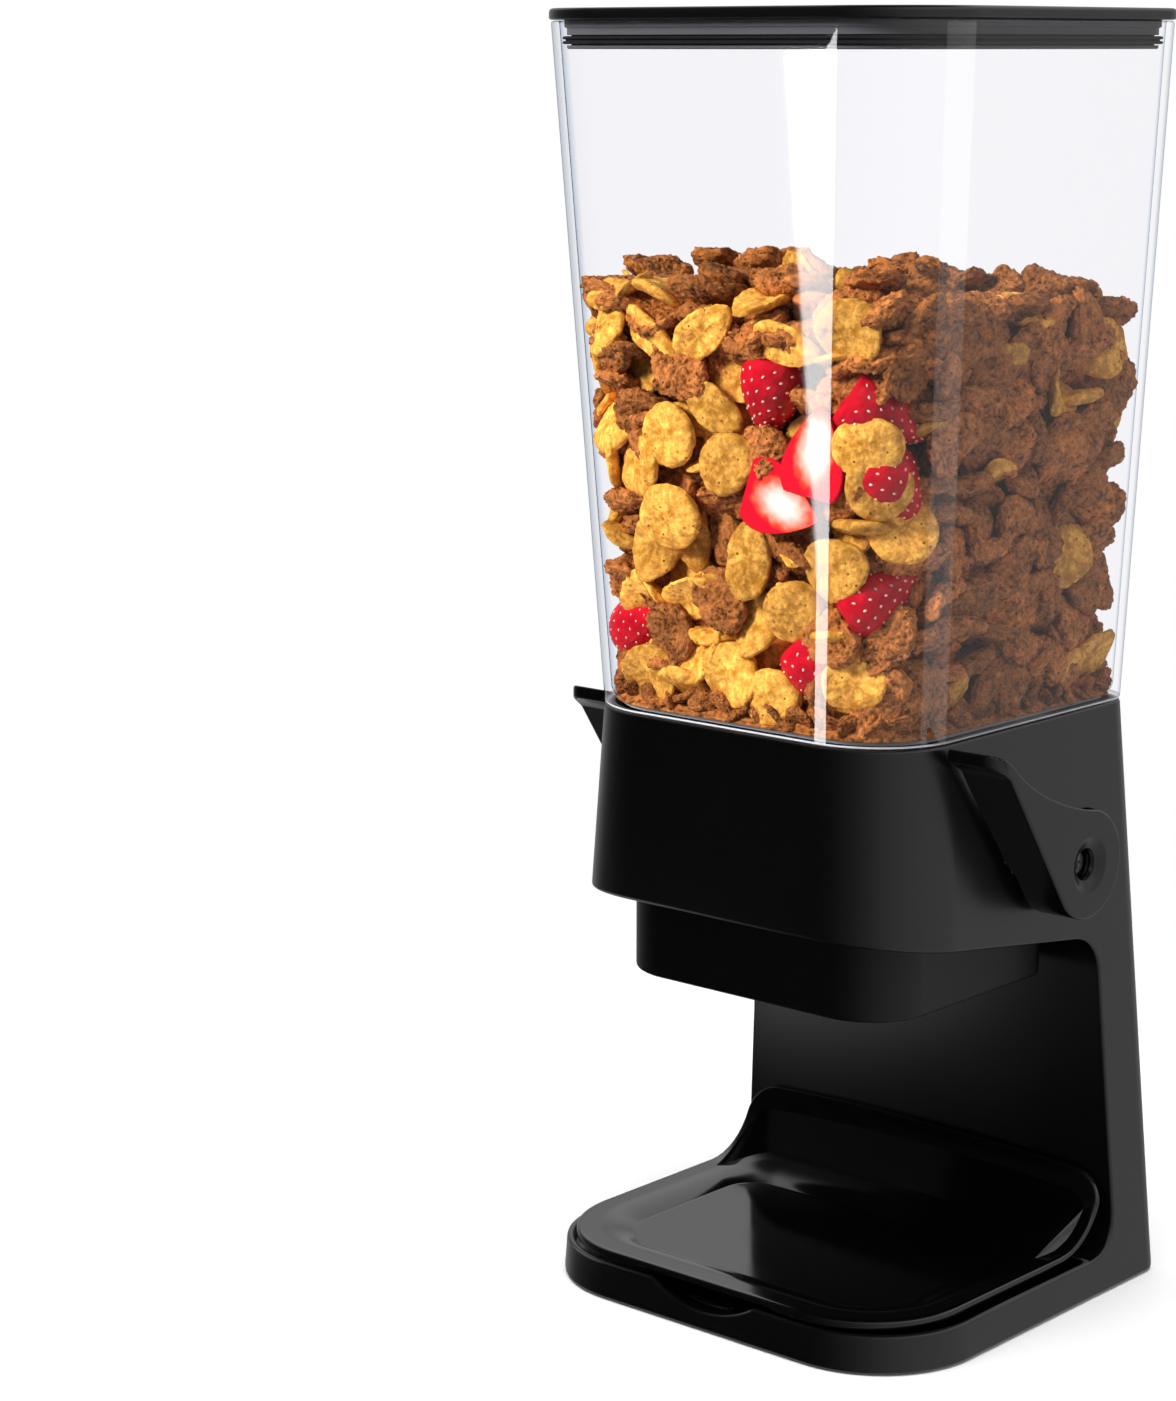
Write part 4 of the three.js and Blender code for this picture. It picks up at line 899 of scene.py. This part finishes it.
class DISPENSER_OT_lid(bpy.types.Operator):
    """Builds the lid with its sunk panel and plug, and the gasket round the plug"""
    bl_idname = "dispenser.lid"
    bl_label = "Lid and gasket"

    def execute(self, context):
        size = millimetres(context.scene.dispenser_sizes)
        colours = context.scene.dispenser_colours
        under = LID_TOP - 3.4
        skirt_foot = LID_TOP - 12.0
        plate = plan(RIM_PLAN.half + 0.3, RIM_PLAN.front - 0.5, RIM_PLAN.rear + 0.5, 31.0, 15.0)
        skirt = inset(hopper_plan(skirt_foot), size.hopper_wall + 1.7)
        groove = inset(skirt, 1.3)
        gasket_foot, gasket_tall = skirt_foot + 1.4, 2.4
        # Each pair is how far in from the plate's edge, and how far below the lid's top.
        plate_rows = ((11.0, 1.2), (9.2, 1.2), (8.7, 1.05), (8.3, 0.35), (7.9, 0.08), (7.3, 0), (1.3, 0),
                      (0.55, 0.18), (0.12, 0.7), (0, 1.4), (0, 2.9), (0.35, 3.32), (0.8, 3.4))
        lid = loft("lid_plate", rings([(plate, by, LID_TOP - z) for by, z in plate_rows], corner=24))
        fit(lid, "lid_body", "satin_black", satin_abs(colours), "lid")

        above, below = gasket_foot + gasket_tall + 0.3, gasket_foot - 0.3
        plug = [(skirt, -0.9, under), (skirt, -0.8, under - 0.2), (skirt, -0.8, under - 2.0),
                (skirt, -0.5, under - 2.3), (skirt, 0, under - 2.5), (skirt, 0, above + 0.1),
                (skirt, 0.1, above), (groove, 0, above), (groove, 0, below), (skirt, 0.1, below),
                (skirt, 0, below - 0.1),
                (skirt, 0, skirt_foot + 0.4), (skirt, 0.4, skirt_foot), (skirt, 3.1, skirt_foot),
                (skirt, 3.5, skirt_foot + 0.4), (skirt, 3.5, under)]
        ring = loft("lid_plug", rings(plug, corner=24), closed=True)
        fit(ring, "lid_body", "satin_black", lid_abs(colours), "lid")

        lip, root = inset(skirt, -1.4), inset(skirt, 1.0)
        beads = ((root, 0, 0), (lip, 0.9, 0), (lip, 0.3, 0.12), (lip, 0, 0.5), (lip, 0.3, 0.88),
                 (lip, 1.0, 1.02), (lip, 1.0, 1.38), (lip, 0.3, 1.52), (lip, 0, 1.9), (lip, 0.3, 2.28),
                 (lip, 0.9, gasket_tall), (root, 0, gasket_tall))
        beads = [(p, by, gasket_foot + z) for p, by, z in beads]
        gasket = loft("gasket_ring", rings(beads, corner=24), closed=True)
        fit(gasket, "lid_body", "black_rubber", silicone_rubber(colours), "lid_gasket")
        for body in (lid, ring, gasket):
            level_shading(body, 60)
        return {"FINISHED"}


# ---- Works and hardware kept from the frame ----
class DISPENSER_OT_hardware(bpy.types.Operator):
    """Finishes the shaft, flap, funnel, screws, springs, bushes and feet"""
    bl_idname = "dispenser.hardware"
    bl_label = "Works and hardware"

    def execute(self, context):
        colours = context.scene.dispenser_colours
        finishes = {
            "satin_black": satin_abs(colours), "black_rubber": silicone_rubber(colours),
            "steel": turned_steel(colours), "pale_plastic": acetal(colours)}
        groups = (
            ("satin_black", ("base_plate", "funnel", "flap"), 0.35),
            ("black_rubber", ("flap_seal", "foot_"), 0.15),
            ("steel", ("base_screw_", "chute_screw_", "flap_screw_", "lever_screw_", "shaft", "washer_",
                       "return_spring_"), 0.12),
            ("pale_plastic", ("bush_",), 0.2))
        for slot, names, rounding in groups:
            found = [n for n in frame["nodes"] if n.startswith(names)]
            if not found:
                raise RuntimeError(f"the frame has no node for {names}")
            for name in found:
                part = frame["nodes"][name]
                part.data.materials.clear()
                part.data.materials.append(finishes[slot])
                if name.startswith("return_spring_"):
                    continue
                bevel = part.modifiers.new("edge rounding", "BEVEL")
                bevel.width, bevel.segments = rounding * MM, 2
                bevel.limit_method, bevel.angle_limit = "ANGLE", math.radians(40)
        return {"FINISHED"}


# ---- Cereal in the hopper ----
def ball(segments, rings):
    """Unit directions over a sphere, as rows of points with a pole at each end."""
    rows = []
    for i in range(rings + 1):
        tilt = math.pi * i / rings
        rows.append([Vector((math.sin(tilt) * math.cos(2 * math.pi * j / segments),
                             math.sin(tilt) * math.sin(2 * math.pi * j / segments), math.cos(tilt)))
                     for j in range(segments)])
    return rows


def shaped_ball(name, shape, segments=64, rings=30):
    """A closed body whose surface is `shape` of each direction, in millimetres."""
    bm = bmesh.new()
    rows = ball(segments, rings)
    top = bm.verts.new(Vector(shape(Vector((0, 0, 1)))) * MM)
    bottom = bm.verts.new(Vector(shape(Vector((0, 0, -1)))) * MM)
    grid = [[bm.verts.new(Vector(shape(d)) * MM) for d in row] for row in rows[1:-1]]
    for j in range(segments):
        k = (j + 1) % segments
        bm.faces.new((top, grid[0][j], grid[0][k]))
        bm.faces.new((grid[-1][j], bottom, grid[-1][k]))
        for low, high in zip(grid, grid[1:]):
            bm.faces.new((low[j], high[j], high[k], low[k]))
    return mesh_object(name, bm)


def flake_shape(rng, long, wide, thick, curl, crinkle, lobes, grit):
    """The shape of one flake: a thin rounded disc, curled and crinkled, with grit on its skin."""
    seed = Vector((rng.uniform(0, 90), rng.uniform(0, 90), rng.uniform(0, 90)))
    turn, twist = rng.uniform(0, math.pi), rng.uniform(-0.5, 0.5)

    def shape(d):
        angle = math.atan2(d.y, d.x)
        rim = 1 + lobes * noise.noise(seed + Vector((math.cos(angle), math.sin(angle), 0)) * 1.3)
        rim += 0.35 * lobes * noise.noise(seed + Vector((math.cos(angle), math.sin(angle), 5)) * 4)
        spread = math.hypot(d.x, d.y)
        out = spread ** 0.55
        x, y = long * rim * out * math.cos(angle), wide * rim * out * math.sin(angle)
        z = thick * 0.5 * math.copysign(abs(d.z) ** 0.8, d.z) * (1 + 0.25 * noise.noise(seed + d * 2))
        u, v = x * math.cos(turn) + y * math.sin(turn), y * math.cos(turn) - x * math.sin(turn)
        z += curl * (u / long) ** 2 + twist * u * v / long
        z += crinkle * noise.noise(seed + Vector((x, y, 0)) * 0.16) * out * 2.2
        here = Vector((x, y, z))
        rough = grit * (noise.noise(seed + here * 0.75) + 0.6 * noise.noise(seed + here * 1.6))
        return (x + d.x * rough, y + d.y * rough, z + d.z * rough)
    return shape


def berry_radius(t):
    """Half the width of a strawberry at a share of its length from the stalk end."""
    return 10.6 * (math.sin(math.pi * min(1.0, 0.13 + 0.87 * t) ** 0.72) ** 0.75) * (1.02 - 0.22 * t)


def strawberry(name, skin, seed_finish):
    """A whole strawberry, pointing down its own Y, with its pips in dimples."""
    pips = []
    golden = math.pi * (3 - math.sqrt(5))
    for k in range(110):
        t = 0.05 + 0.9 * (k / 110)
        pips.append((t, (k * golden) % (2 * math.pi)))

    def place(t, angle, lift=0.0):
        r = berry_radius(t) + lift
        return Vector((r * math.cos(angle), 14 - 27 * t, r * math.sin(angle)))

    centres = [place(t, a) for t, a in pips]

    def shape(d):
        t = (1 - d.y) / 2
        t = min(max(t, 0.0), 1.0)
        angle = math.atan2(d.z, d.x)
        point = place(t, angle) if 0.001 < t < 0.999 else Vector((0, 14 - 27 * t, 0))
        near = min((point - c).length for c in centres)
        return point * (1 - 0.045 * max(0.0, 1 - near / 1.1))
    body = shaped_ball(name, lambda d: shape(Vector((d.x, d.z, d.y))), 56, 40)
    bm = bmesh.new()
    bm.from_mesh(body.data)
    for t, angle in pips:
        centre = place(t, angle, -0.15)
        out = Vector((math.cos(angle), 0.35, math.sin(angle))).normalized()
        turn = out.to_track_quat("Z", "Y").to_matrix().to_4x4()
        pip = Matrix.Diagonal((0.42 * MM, 0.68 * MM, 0.32 * MM, 1.0))
        made = bmesh.ops.create_icosphere(
            bm, subdivisions=1, radius=1.0, matrix=Matrix.Translation(centre * MM) @ turn @ pip)
        for face in {f for v in made["verts"] for f in v.link_faces}:
            face.material_index, face.smooth = 1, True
    bm.to_mesh(body.data)
    bm.free()
    body.data.materials.append(skin)
    body.data.materials.append(seed_finish)
    return body


def strawberry_half(name, skin, flesh):
    """A strawberry cut lengthwise: a flat heart-shaped face over a rounded back."""
    def shape(d):
        t = min(max((1 - d.y) / 2, 0.0), 1.0)
        across = berry_radius(t) * 1.1
        flat = math.hypot(d.x, d.z)
        x = 0.0 if flat < 1e-6 else across * d.x / flat
        z = 0.0 if flat < 1e-6 else across * d.z / flat
        return (x, 14 - 27 * t, min(z, 0.6) * (0.75 if z < 0 else 1.0))
    body = shaped_ball(name, lambda d: shape(Vector((d.x, d.z, d.y))), 56, 36)
    body.data.materials.append(skin)
    body.data.materials.append(flesh)
    for face in body.data.polygons:
        if face.normal.z > 0.9:
            face.material_index = 1
    return body


def outside_by(points, shell):
    """How far points, in millimetres, lie beyond the hopper's inner wall; negative inside."""
    z = points[..., 2]
    t = (z - HOPPER_FOOT) / (RIM_TOP - HOPPER_FOOT)
    wall = between(inset(COLLAR_PLAN, shell), inset(RIM_PLAN, shell), t)
    middle = (wall.front + wall.rear) / 2
    radius = np.where(points[..., 1] < middle, wall.front_radius, wall.rear_radius)
    dx = np.abs(points[..., 0]) - wall.half + radius
    dy = np.abs(points[..., 1] - middle) - (wall.rear - wall.front) / 2 + radius
    reach = np.hypot(np.maximum(dx, 0), np.maximum(dy, 0)) + np.minimum(np.maximum(dx, dy), 0)
    return reach - radius


def inward(x, y, z):
    """Unit direction from a point towards the inside of the nearest wall, over the floor plan."""
    here = np.array([x, y, z])
    step = 0.2
    gx = outside_by(here + [step, 0, 0], 0) - outside_by(here - [step, 0, 0], 0)
    gy = outside_by(here + [0, step, 0], 0) - outside_by(here - [0, step, 0], 0)
    span = math.hypot(gx, gy)
    return (0.0, 0.0) if span < 1e-9 else (-gx / span, -gy / span)


def settle(body, shell, gap=0.35):
    """Moves a contents piece inwards and up until no point of it is in a wall or the hopper's floor."""
    bpy.context.view_layer.update()
    local = np.array([v.co for v in body.data.vertices][::5]) / MM
    for _ in range(4):
        turn = np.array(body.matrix_world.to_3x3())
        centre = np.array(body.location) / MM
        points = local @ turn.T + centre
        over = float(outside_by(points, shell).max()) + gap
        sunk = CONTENTS_FOOT - float(points[:, 2].min())
        if over <= 0 and sunk <= 0:
            return
        x, y = inward(*centre)
        shift = Vector((x * max(over, 0), y * max(over, 0), max(sunk, 0)))
        body.location += shift * MM
        bpy.context.view_layer.update()


def contents_spots(rng, top):
    """Centre, wall direction and layer of every flake: three layers along the walls and a loose top."""
    spots = []
    for layer, (depth, step, rise) in enumerate(((5.5, 15.0, 11.5), (13.0, 15.0, 12.0), (22.0, 18.0, 15.0))):
        z = HOPPER_FOOT + 5.0
        row = 0
        while z < top - 4:
            ring = outline(inset(hopper_plan(z), 2.5 + depth), corner=10, side=10)
            lengths = [math.dist(a, b) for a, b in zip(ring, ring[1:] + ring[:1])]
            total, travelled, place = sum(lengths), 0.0, (row % 2) * step / 2
            for (x0, y0), (x1, y1), span in zip(ring, ring[1:] + ring[:1], lengths):
                while place < travelled + span:
                    t = (place - travelled) / span
                    x, y = x0 + (x1 - x0) * t, y0 + (y1 - y0) * t
                    nx, ny = inward(x, y, z)
                    spots.append((Vector((x, y, z + rng.uniform(-3.5, 3.5))), Vector((nx, ny, 0)), layer))
                    place += step * rng.uniform(0.85, 1.15)
                travelled += span
            z += rise
            row += 1
    for layer, z in ((3, top - 12), (4, top - 4), (5, top + 2)):
        reach = inset(hopper_plan(z), 10.0)
        x = -reach.half
        while x <= reach.half:
            y = reach.front
            while y <= reach.rear:
                hump = 9.0 * noise.noise(Vector((x, y, 0)) * 0.03)
                keep = 1.0 if layer < 5 else 0.55
                if rng.random() < keep:
                    spots.append((Vector((x + rng.uniform(-4, 4), y + rng.uniform(-4, 4), z + hump
                                          + rng.uniform(-3, 3))), Vector((0, 0, 1)), layer))
                y += 16.5
            x += 16.5
    return spots


# The lowest the cereal reaches: just into the clear floor, which bends light so that it looks thinner.
CONTENTS_FOOT = HOPPER_FOOT + 1.0

# Where the chosen pieces lie against the front wall: kind, X, Z, turn in degrees, lean in degrees.
FRONT_PIECES = (
    ("berry", 11.0, 287.0, -14, 8), ("berry", 57.0, 284.0, 60, 6), ("berry", 54.5, 233.0, 118, 5),
    ("berry", -47.0, 214.0, 112, 6), ("berry", 30.0, 205.0, 42, 6), ("berry", 63.0, 262.0, 35, 4),
    ("half", 33.5, 275.0, 172, 3), ("half", 22.0, 258.0, 72, 2),
    ("disc", -23.0, 275.0, 0, 6), ("disc", -1.0, 268.0, 30, 5), ("disc", 51.0, 277.0, 0, 6),
    ("disc", 55.0, 265.0, 70, 8), ("disc", -23.5, 250.0, 20, 14), ("disc", 45.0, 309.0, 0, 12),
    ("disc", -1.0, 204.0, 0, 5), ("disc", 44.0, 207.0, 60, 7), ("disc", 38.0, 240.0, 10, 6),
    ("disc", 14.0, 199.0, 20, 8), ("curl", -10.0, 306.0, 35, 20), ("curl", 6.0, 240.0, 84, 14),
    ("curl", -31.0, 241.0, 62, 20), ("curl", -30.0, 305.0, -35, 24), ("curl", 21.0, 305.0, -14, 16),
    ("disc", 22.0, 226.0, 40, 20), ("curl", -18.0, 226.0, 20, 30), ("disc", -34.0, 198.0, 0, 12))


class DISPENSER_OT_contents(bpy.types.Operator):
    """Fills the hopper with bran flakes, wheat flakes and strawberries, as stage dressing"""
    bl_idname = "dispenser.contents"
    bl_label = "Cereal"

    def execute(self, context):
        colours = context.scene.dispenser_colours
        shell, top = 2.5, context.scene.dispenser_sizes.contents_top / MM
        rng = random.Random(41)
        bran, wheat = bran_crust(colours), wheat_crust(colours)
        skin, pip, flesh = strawberry_skin(colours), strawberry_seed(), strawberry_flesh(colours)
        kinds = {
            "bran": [flake_shape(rng, rng.uniform(9.5, 12.0), rng.uniform(7.8, 9.8), 5.6,
                                 rng.uniform(0.5, 3.0), 0.7, 0.13, 0.95) for _ in range(8)],
            "disc": [flake_shape(rng, rng.uniform(9.8, 11.2), rng.uniform(9, 10.5), 4.2,
                                 rng.uniform(0, 1.2), 0.3, 0.05, 0.3) for _ in range(5)],
            "curl": [flake_shape(rng, rng.uniform(10.5, 12.5), rng.uniform(6.5, 8.5), 3.4,
                                 rng.uniform(3.5, 6), 0.6, 0.10, 0.35) for _ in range(5)]}
        stock = {kind: [shaped_ball(f"{kind}_{i}", shape) for i, shape in enumerate(shapes)]
                 for kind, shapes in kinds.items()}
        for kind, bodies in stock.items():
            for body in bodies:
                body.data.materials.append(bran if kind == "bran" else wheat)
        stock["berry"] = [strawberry("berry", skin, pip)]
        stock["half"] = [strawberry_half("half", skin, flesh)]
        hopper = frame["bodies"]["hopper_body"]
        placed = []

        def drop(kind, centre, turn):
            """Places one of a kind's models, drawn at random, at a centre in millimetres."""
            model = rng.choice(stock[kind])
            body = bpy.data.objects.new(f"contents_{kind}_{len(placed)}", model.data)
            context.scene.collection.objects.link(body)
            body.location = centre * MM
            body.rotation_mode = "QUATERNION"
            body.rotation_quaternion = turn
            placed.append(body)
            return body

        taken = []
        for kind, x, z, turn, lean in FRONT_PIECES:
            y = hopper_plan(z).front + shell + {"half": 1.4, "disc": 3.6, "curl": 5.0, "berry": 8.0}[kind]
            pull = inward(x, y, z)
            facing = Vector((-pull[0], -pull[1], 0)).to_track_quat("Z", "Y")
            spin = Euler((math.radians(lean), 0, math.radians(turn))).to_quaternion()
            drop(kind, Vector((x, y, z)), facing @ spin)
            taken.append((Vector((x, y, z)), 9.5 if kind in ("berry", "half") else 8.0))
        for centre, way, layer in contents_spots(rng, top):
            if layer < 2 and any((centre - spot).length < room + (4.0, 1.0)[layer] for spot, room in taken):
                continue
            gold = 0.34 if centre.y < -30 and centre.x < 48 else 0.07
            kind = rng.choice(("disc", "curl")) if rng.random() < gold else "bran"
            if layer > 2:
                tilt = rng.uniform(-35, 35)
            else:
                tilt = rng.choice((rng.uniform(-28, 28), rng.uniform(-28, 28), rng.uniform(40, 80)))
            facing = (-way if layer <= 2 else way).to_track_quat("Z", "Y")
            spin = Euler((math.radians(tilt), math.radians(rng.uniform(-25, 25)), 0)).to_quaternion()
            own = Euler((0, 0, rng.uniform(0, 2 * math.pi))).to_quaternion()
            drop(kind, centre, facing @ spin @ own)
        for depth in (3.5, 8.0):
            ring = outline(inset(hopper_plan(HOPPER_FOOT + 6), shell + depth), corner=5, side=14)
            for x, y in ring:
                turn = Euler([rng.uniform(-1.3, 1.3) for _ in range(3)]).to_quaternion()
                crumb = drop("bran", Vector((x, y, CONTENTS_FOOT + rng.uniform(2.5, 6.0))), turn)
                crumb.scale = [rng.uniform(0.34, 0.5)] * 3
        context.view_layer.update()
        for body in placed:
            settle(body, shell)
        # What fills the middle, as heights and how far in from the wall.
        heap = [(HOPPER_FOOT + z, by) for z, by in
                ((1.0, 2.2), (1.4, 1.2), (2.8, 2.4), (5.0, 6.0), (14.0, 12.0), (30.0, 18.0))]
        heap += [(top - 26, 19.0), (top - 16, 24.0)]
        core = loft("contents_core", rings([(hopper_plan(z), shell + by, z) for z, by in heap], 8, 4))
        core.data.materials.append(bran)
        placed.append(core)
        for bodies in stock.values():
            for body in bodies:
                bpy.data.objects.remove(body)
        for body in placed:
            body.parent = hopper
        return {"FINISHED"}


# ---- Studio ----
def studio_floor(colours):
    # Matt painted board: pale and even, fading out so that its far edge doesn't show.
    made, tree, where = material("board_painted_matt")
    speck = add(tree, "ShaderNodeTexNoise", {"Vector": where, "Scale": per(2.0), "Detail": 2.0})
    hue = add(tree, "ShaderNodeValToRGB", {"Fac": speck}, [
        (0.2, solid_colour(colours.floor, 0.99)), (0.8, solid_colour(colours.floor, 1.0))])
    matt = add(tree, "ShaderNodeBsdfDiffuse", {"Color": hue, "Roughness": 0.4})
    reach = add(tree, "ShaderNodeVectorMath", {0: where}, operation="LENGTH")
    fade = add(tree, "ShaderNodeMapRange", {
        "Value": reach.outputs["Value"], "From Min": 0.26, "From Max": 0.5}, interpolation_type="SMOOTHSTEP")
    gone = add(tree, "ShaderNodeBsdfTransparent")
    both = add(tree, "ShaderNodeMixShader", {
        0: fade, 1: matt, 2: gone})
    return finished(made, both)


def studio_world(scene):
    """A white surround, with its dark, grey and bright flags set by compass direction for reflections."""
    world = bpy.data.worlds.new("studio")
    scene.world = world
    world.use_nodes = True
    tree = world.node_tree
    tree.nodes.clear()
    where = add(tree, "ShaderNodeTexCoord").outputs["Generated"]
    split = add(tree, "ShaderNodeSeparateXYZ", {"Vector": where})
    back = add(tree, "ShaderNodeMath", {0: split.outputs["Y"], 1: -1.0}, operation="MULTIPLY")
    bearing = add(tree, "ShaderNodeMath", {0: split.outputs["X"], 1: back}, operation="ARCTAN2")
    share = add(tree, "ShaderNodeMath", {0: bearing, 1: 1 / (2 * math.pi), 2: 0.5},
                operation="MULTIPLY_ADD")
    # Bearings in degrees, 0 towards the front and 90 towards the right, with the brightness there.
    flags = ((-180, 0.40), (-150, 0.52), (-120, 0.50), (-88, 0.10), (-60, 0.03), (-38, 0.012), (-10, 0.03),
             (25, 0.16), (60, 0.40), (100, 0.50), (128, 0.46), (148, 0.44), (165, 0.42), (180, 0.40))
    band = add(tree, "ShaderNodeValToRGB", {"Fac": share},
               [((a + 180) / 360, (v, v, v, 1.0)) for a, v in flags])
    # Half way up the surround is brighter, and straight overhead it is dark.
    height = add(tree, "ShaderNodeValToRGB", {"Fac": split.outputs["Z"]}, [
        (0.0, (0.5, 0.5, 0.5, 1.0)), (0.3, (0.5, 0.5, 0.5, 1.0)), (0.48, (1.0, 1.0, 1.0, 1.0)),
        (0.72, (1.0, 1.0, 1.0, 1.0)), (0.80, (0.08, 0.08, 0.08, 1.0))])
    lit = add(tree, "ShaderNodeVectorMath", {0: band, 1: height}, operation="MULTIPLY")
    path = add(tree, "ShaderNodeLightPath").outputs
    # Matt surfaces get an even fill, and the surround itself renders white.
    even = add(tree, "ShaderNodeMix", {
        0: path["Is Diffuse Ray"], 6: lit, 7: (0.13, 0.13, 0.13, 1.0)}, data_type="RGBA")
    shown = add(tree, "ShaderNodeMix", {
        0: path["Is Camera Ray"], 6: even.outputs[2], 7: (0.5, 0.5, 0.5, 1.0)}, data_type="RGBA")
    sky = add(tree, "ShaderNodeBackground", {"Color": shown.outputs[2], "Strength": 2.0})
    add(tree, "ShaderNodeOutputWorld", {"Surface": sky})


def softbox(name, place, target, width, height, power, only=None, shines=False):
    """A soft light at a place in metres, turned to a target. `only` limits what it lights; `shines` lets it
    be seen in reflections."""
    light = bpy.data.lights.new(name, "AREA")
    light.shape, light.size, light.size_y, light.energy = "RECTANGLE", width, height, power
    body = bpy.data.objects.new(name, light)
    bpy.context.scene.collection.objects.link(body)
    body.location = place
    body.rotation_euler = (Vector(target) - Vector(place)).to_track_quat("-Z", "Y").to_euler()
    body.visible_camera = False
    body.visible_glossy = shines
    if only:
        group = bpy.data.collections.new(name + " receivers")
        for piece in only:
            group.objects.link(piece)
        body.light_linking.receiver_collection = group
    return body


class DISPENSER_OT_studio(bpy.types.Operator):
    """Sets the floor, the lights, the surround and the camera"""
    bl_idname = "dispenser.studio"
    bl_label = "Studio"

    def execute(self, context):
        scene = context.scene
        floor = loft("studio_floor", [disc(0, 0, z, 600, "Z", 96) for z in (-4.0, -0.02)])
        floor.data.materials.append(studio_floor(scene.dispenser_colours))
        floor.visible_glossy = False
        studio_world(scene)
        softbox("overhead", (0.05, -0.1, 1.35), (0, 0, 0.1), 1.1, 1.1, 13.0)
        upper = ("contents_", "lid_", "gasket", "hopper_")
        inside = [body for body in scene.objects if body.name.startswith(upper)]
        softbox("front left", (-0.62, -1.2, 0.95), (0, 0, 0.25), 0.4, 0.4, 38.0, inside)
        softbox("floor wash", (-0.1, -0.2, 1.6), (0, 0, 0), 1.6, 1.6, 26.0, [floor])
        softbox("right", (1.35, -0.1, 0.95), (0, 0, 0.25), 0.7, 0.7, 3.0)
        hopper = bpy.data.objects.get("hopper_moulding")
        if hopper is None:
            raise RuntimeError("build the hopper before the studio")
        softbox("hopper front strip", (-0.265, -0.577, 0.106), (0.026, -0.051, 0.106), 0.171, 0.452, 3.3,
                [hopper], True)
        softbox("hopper corner strip", (0.597, 0.194, 0.15), (0.045, -0.04, 0.15), 0.41, 0.7, 0.8,
                [hopper], True)
        softbox("column glow", (-0.130, -0.09, 0.045), (0, 0.045, 0.07), 0.09, 0.08, 0.02,
                [bpy.data.objects["stand_moulding"]], True)
        lens = bpy.data.cameras.new("camera")
        lens.lens, lens.sensor_width, lens.sensor_fit = 85.03, 36.0, "AUTO"
        camera = bpy.data.objects.new("camera", lens)
        scene.collection.objects.link(camera)
        camera.location = (0.6160, -0.8115, 0.3891)
        camera.rotation_euler = (math.radians(78.8), 0.0, math.radians(41.76))
        scene.camera = camera
        scene.view_settings.view_transform = "Standard"
        return {"FINISHED"}


# ---- Panel and start-up ----
OPERATORS = (
    DISPENSER_OT_stand, DISPENSER_OT_tray, DISPENSER_OT_chute, DISPENSER_OT_levers, DISPENSER_OT_hopper,
    DISPENSER_OT_lid, DISPENSER_OT_hardware, DISPENSER_OT_contents, DISPENSER_OT_studio)


class DISPENSER_PT_panel(bpy.types.Panel):
    """Lists the sizes, the colours and the pieces"""
    bl_idname = "DISPENSER_PT_panel"
    bl_label = "Cereal dispenser"
    bl_space_type = "VIEW_3D"
    bl_region_type = "UI"
    bl_category = "Dispenser"

    def draw(self, context):
        for operator in OPERATORS:
            self.layout.operator(operator.bl_idname)
        for group in (context.scene.dispenser_sizes, context.scene.dispenser_colours):
            column = self.layout.column()
            for key in group.__annotations__:
                column.prop(group, key)


CLASSES = (DispenserSizes, DispenserColours, *OPERATORS, DISPENSER_PT_panel)


def register():
    """Registers the classes and hangs the sizes and colours on the scene."""
    for cls in CLASSES:
        bpy.utils.register_class(cls)
    bpy.types.Scene.dispenser_sizes = bpy.props.PointerProperty(type=DispenserSizes)
    bpy.types.Scene.dispenser_colours = bpy.props.PointerProperty(type=DispenserColours)


def unregister():
    del bpy.types.Scene.dispenser_colours
    del bpy.types.Scene.dispenser_sizes
    for cls in reversed(CLASSES):
        bpy.utils.unregister_class(cls)


def main():
    """Registers the classes and builds every piece in order."""
    register()
    for operator in OPERATORS:
        group, name = operator.bl_idname.split(".")
        getattr(getattr(bpy.ops, group), name)()


if __name__ == "__main__":
    main()
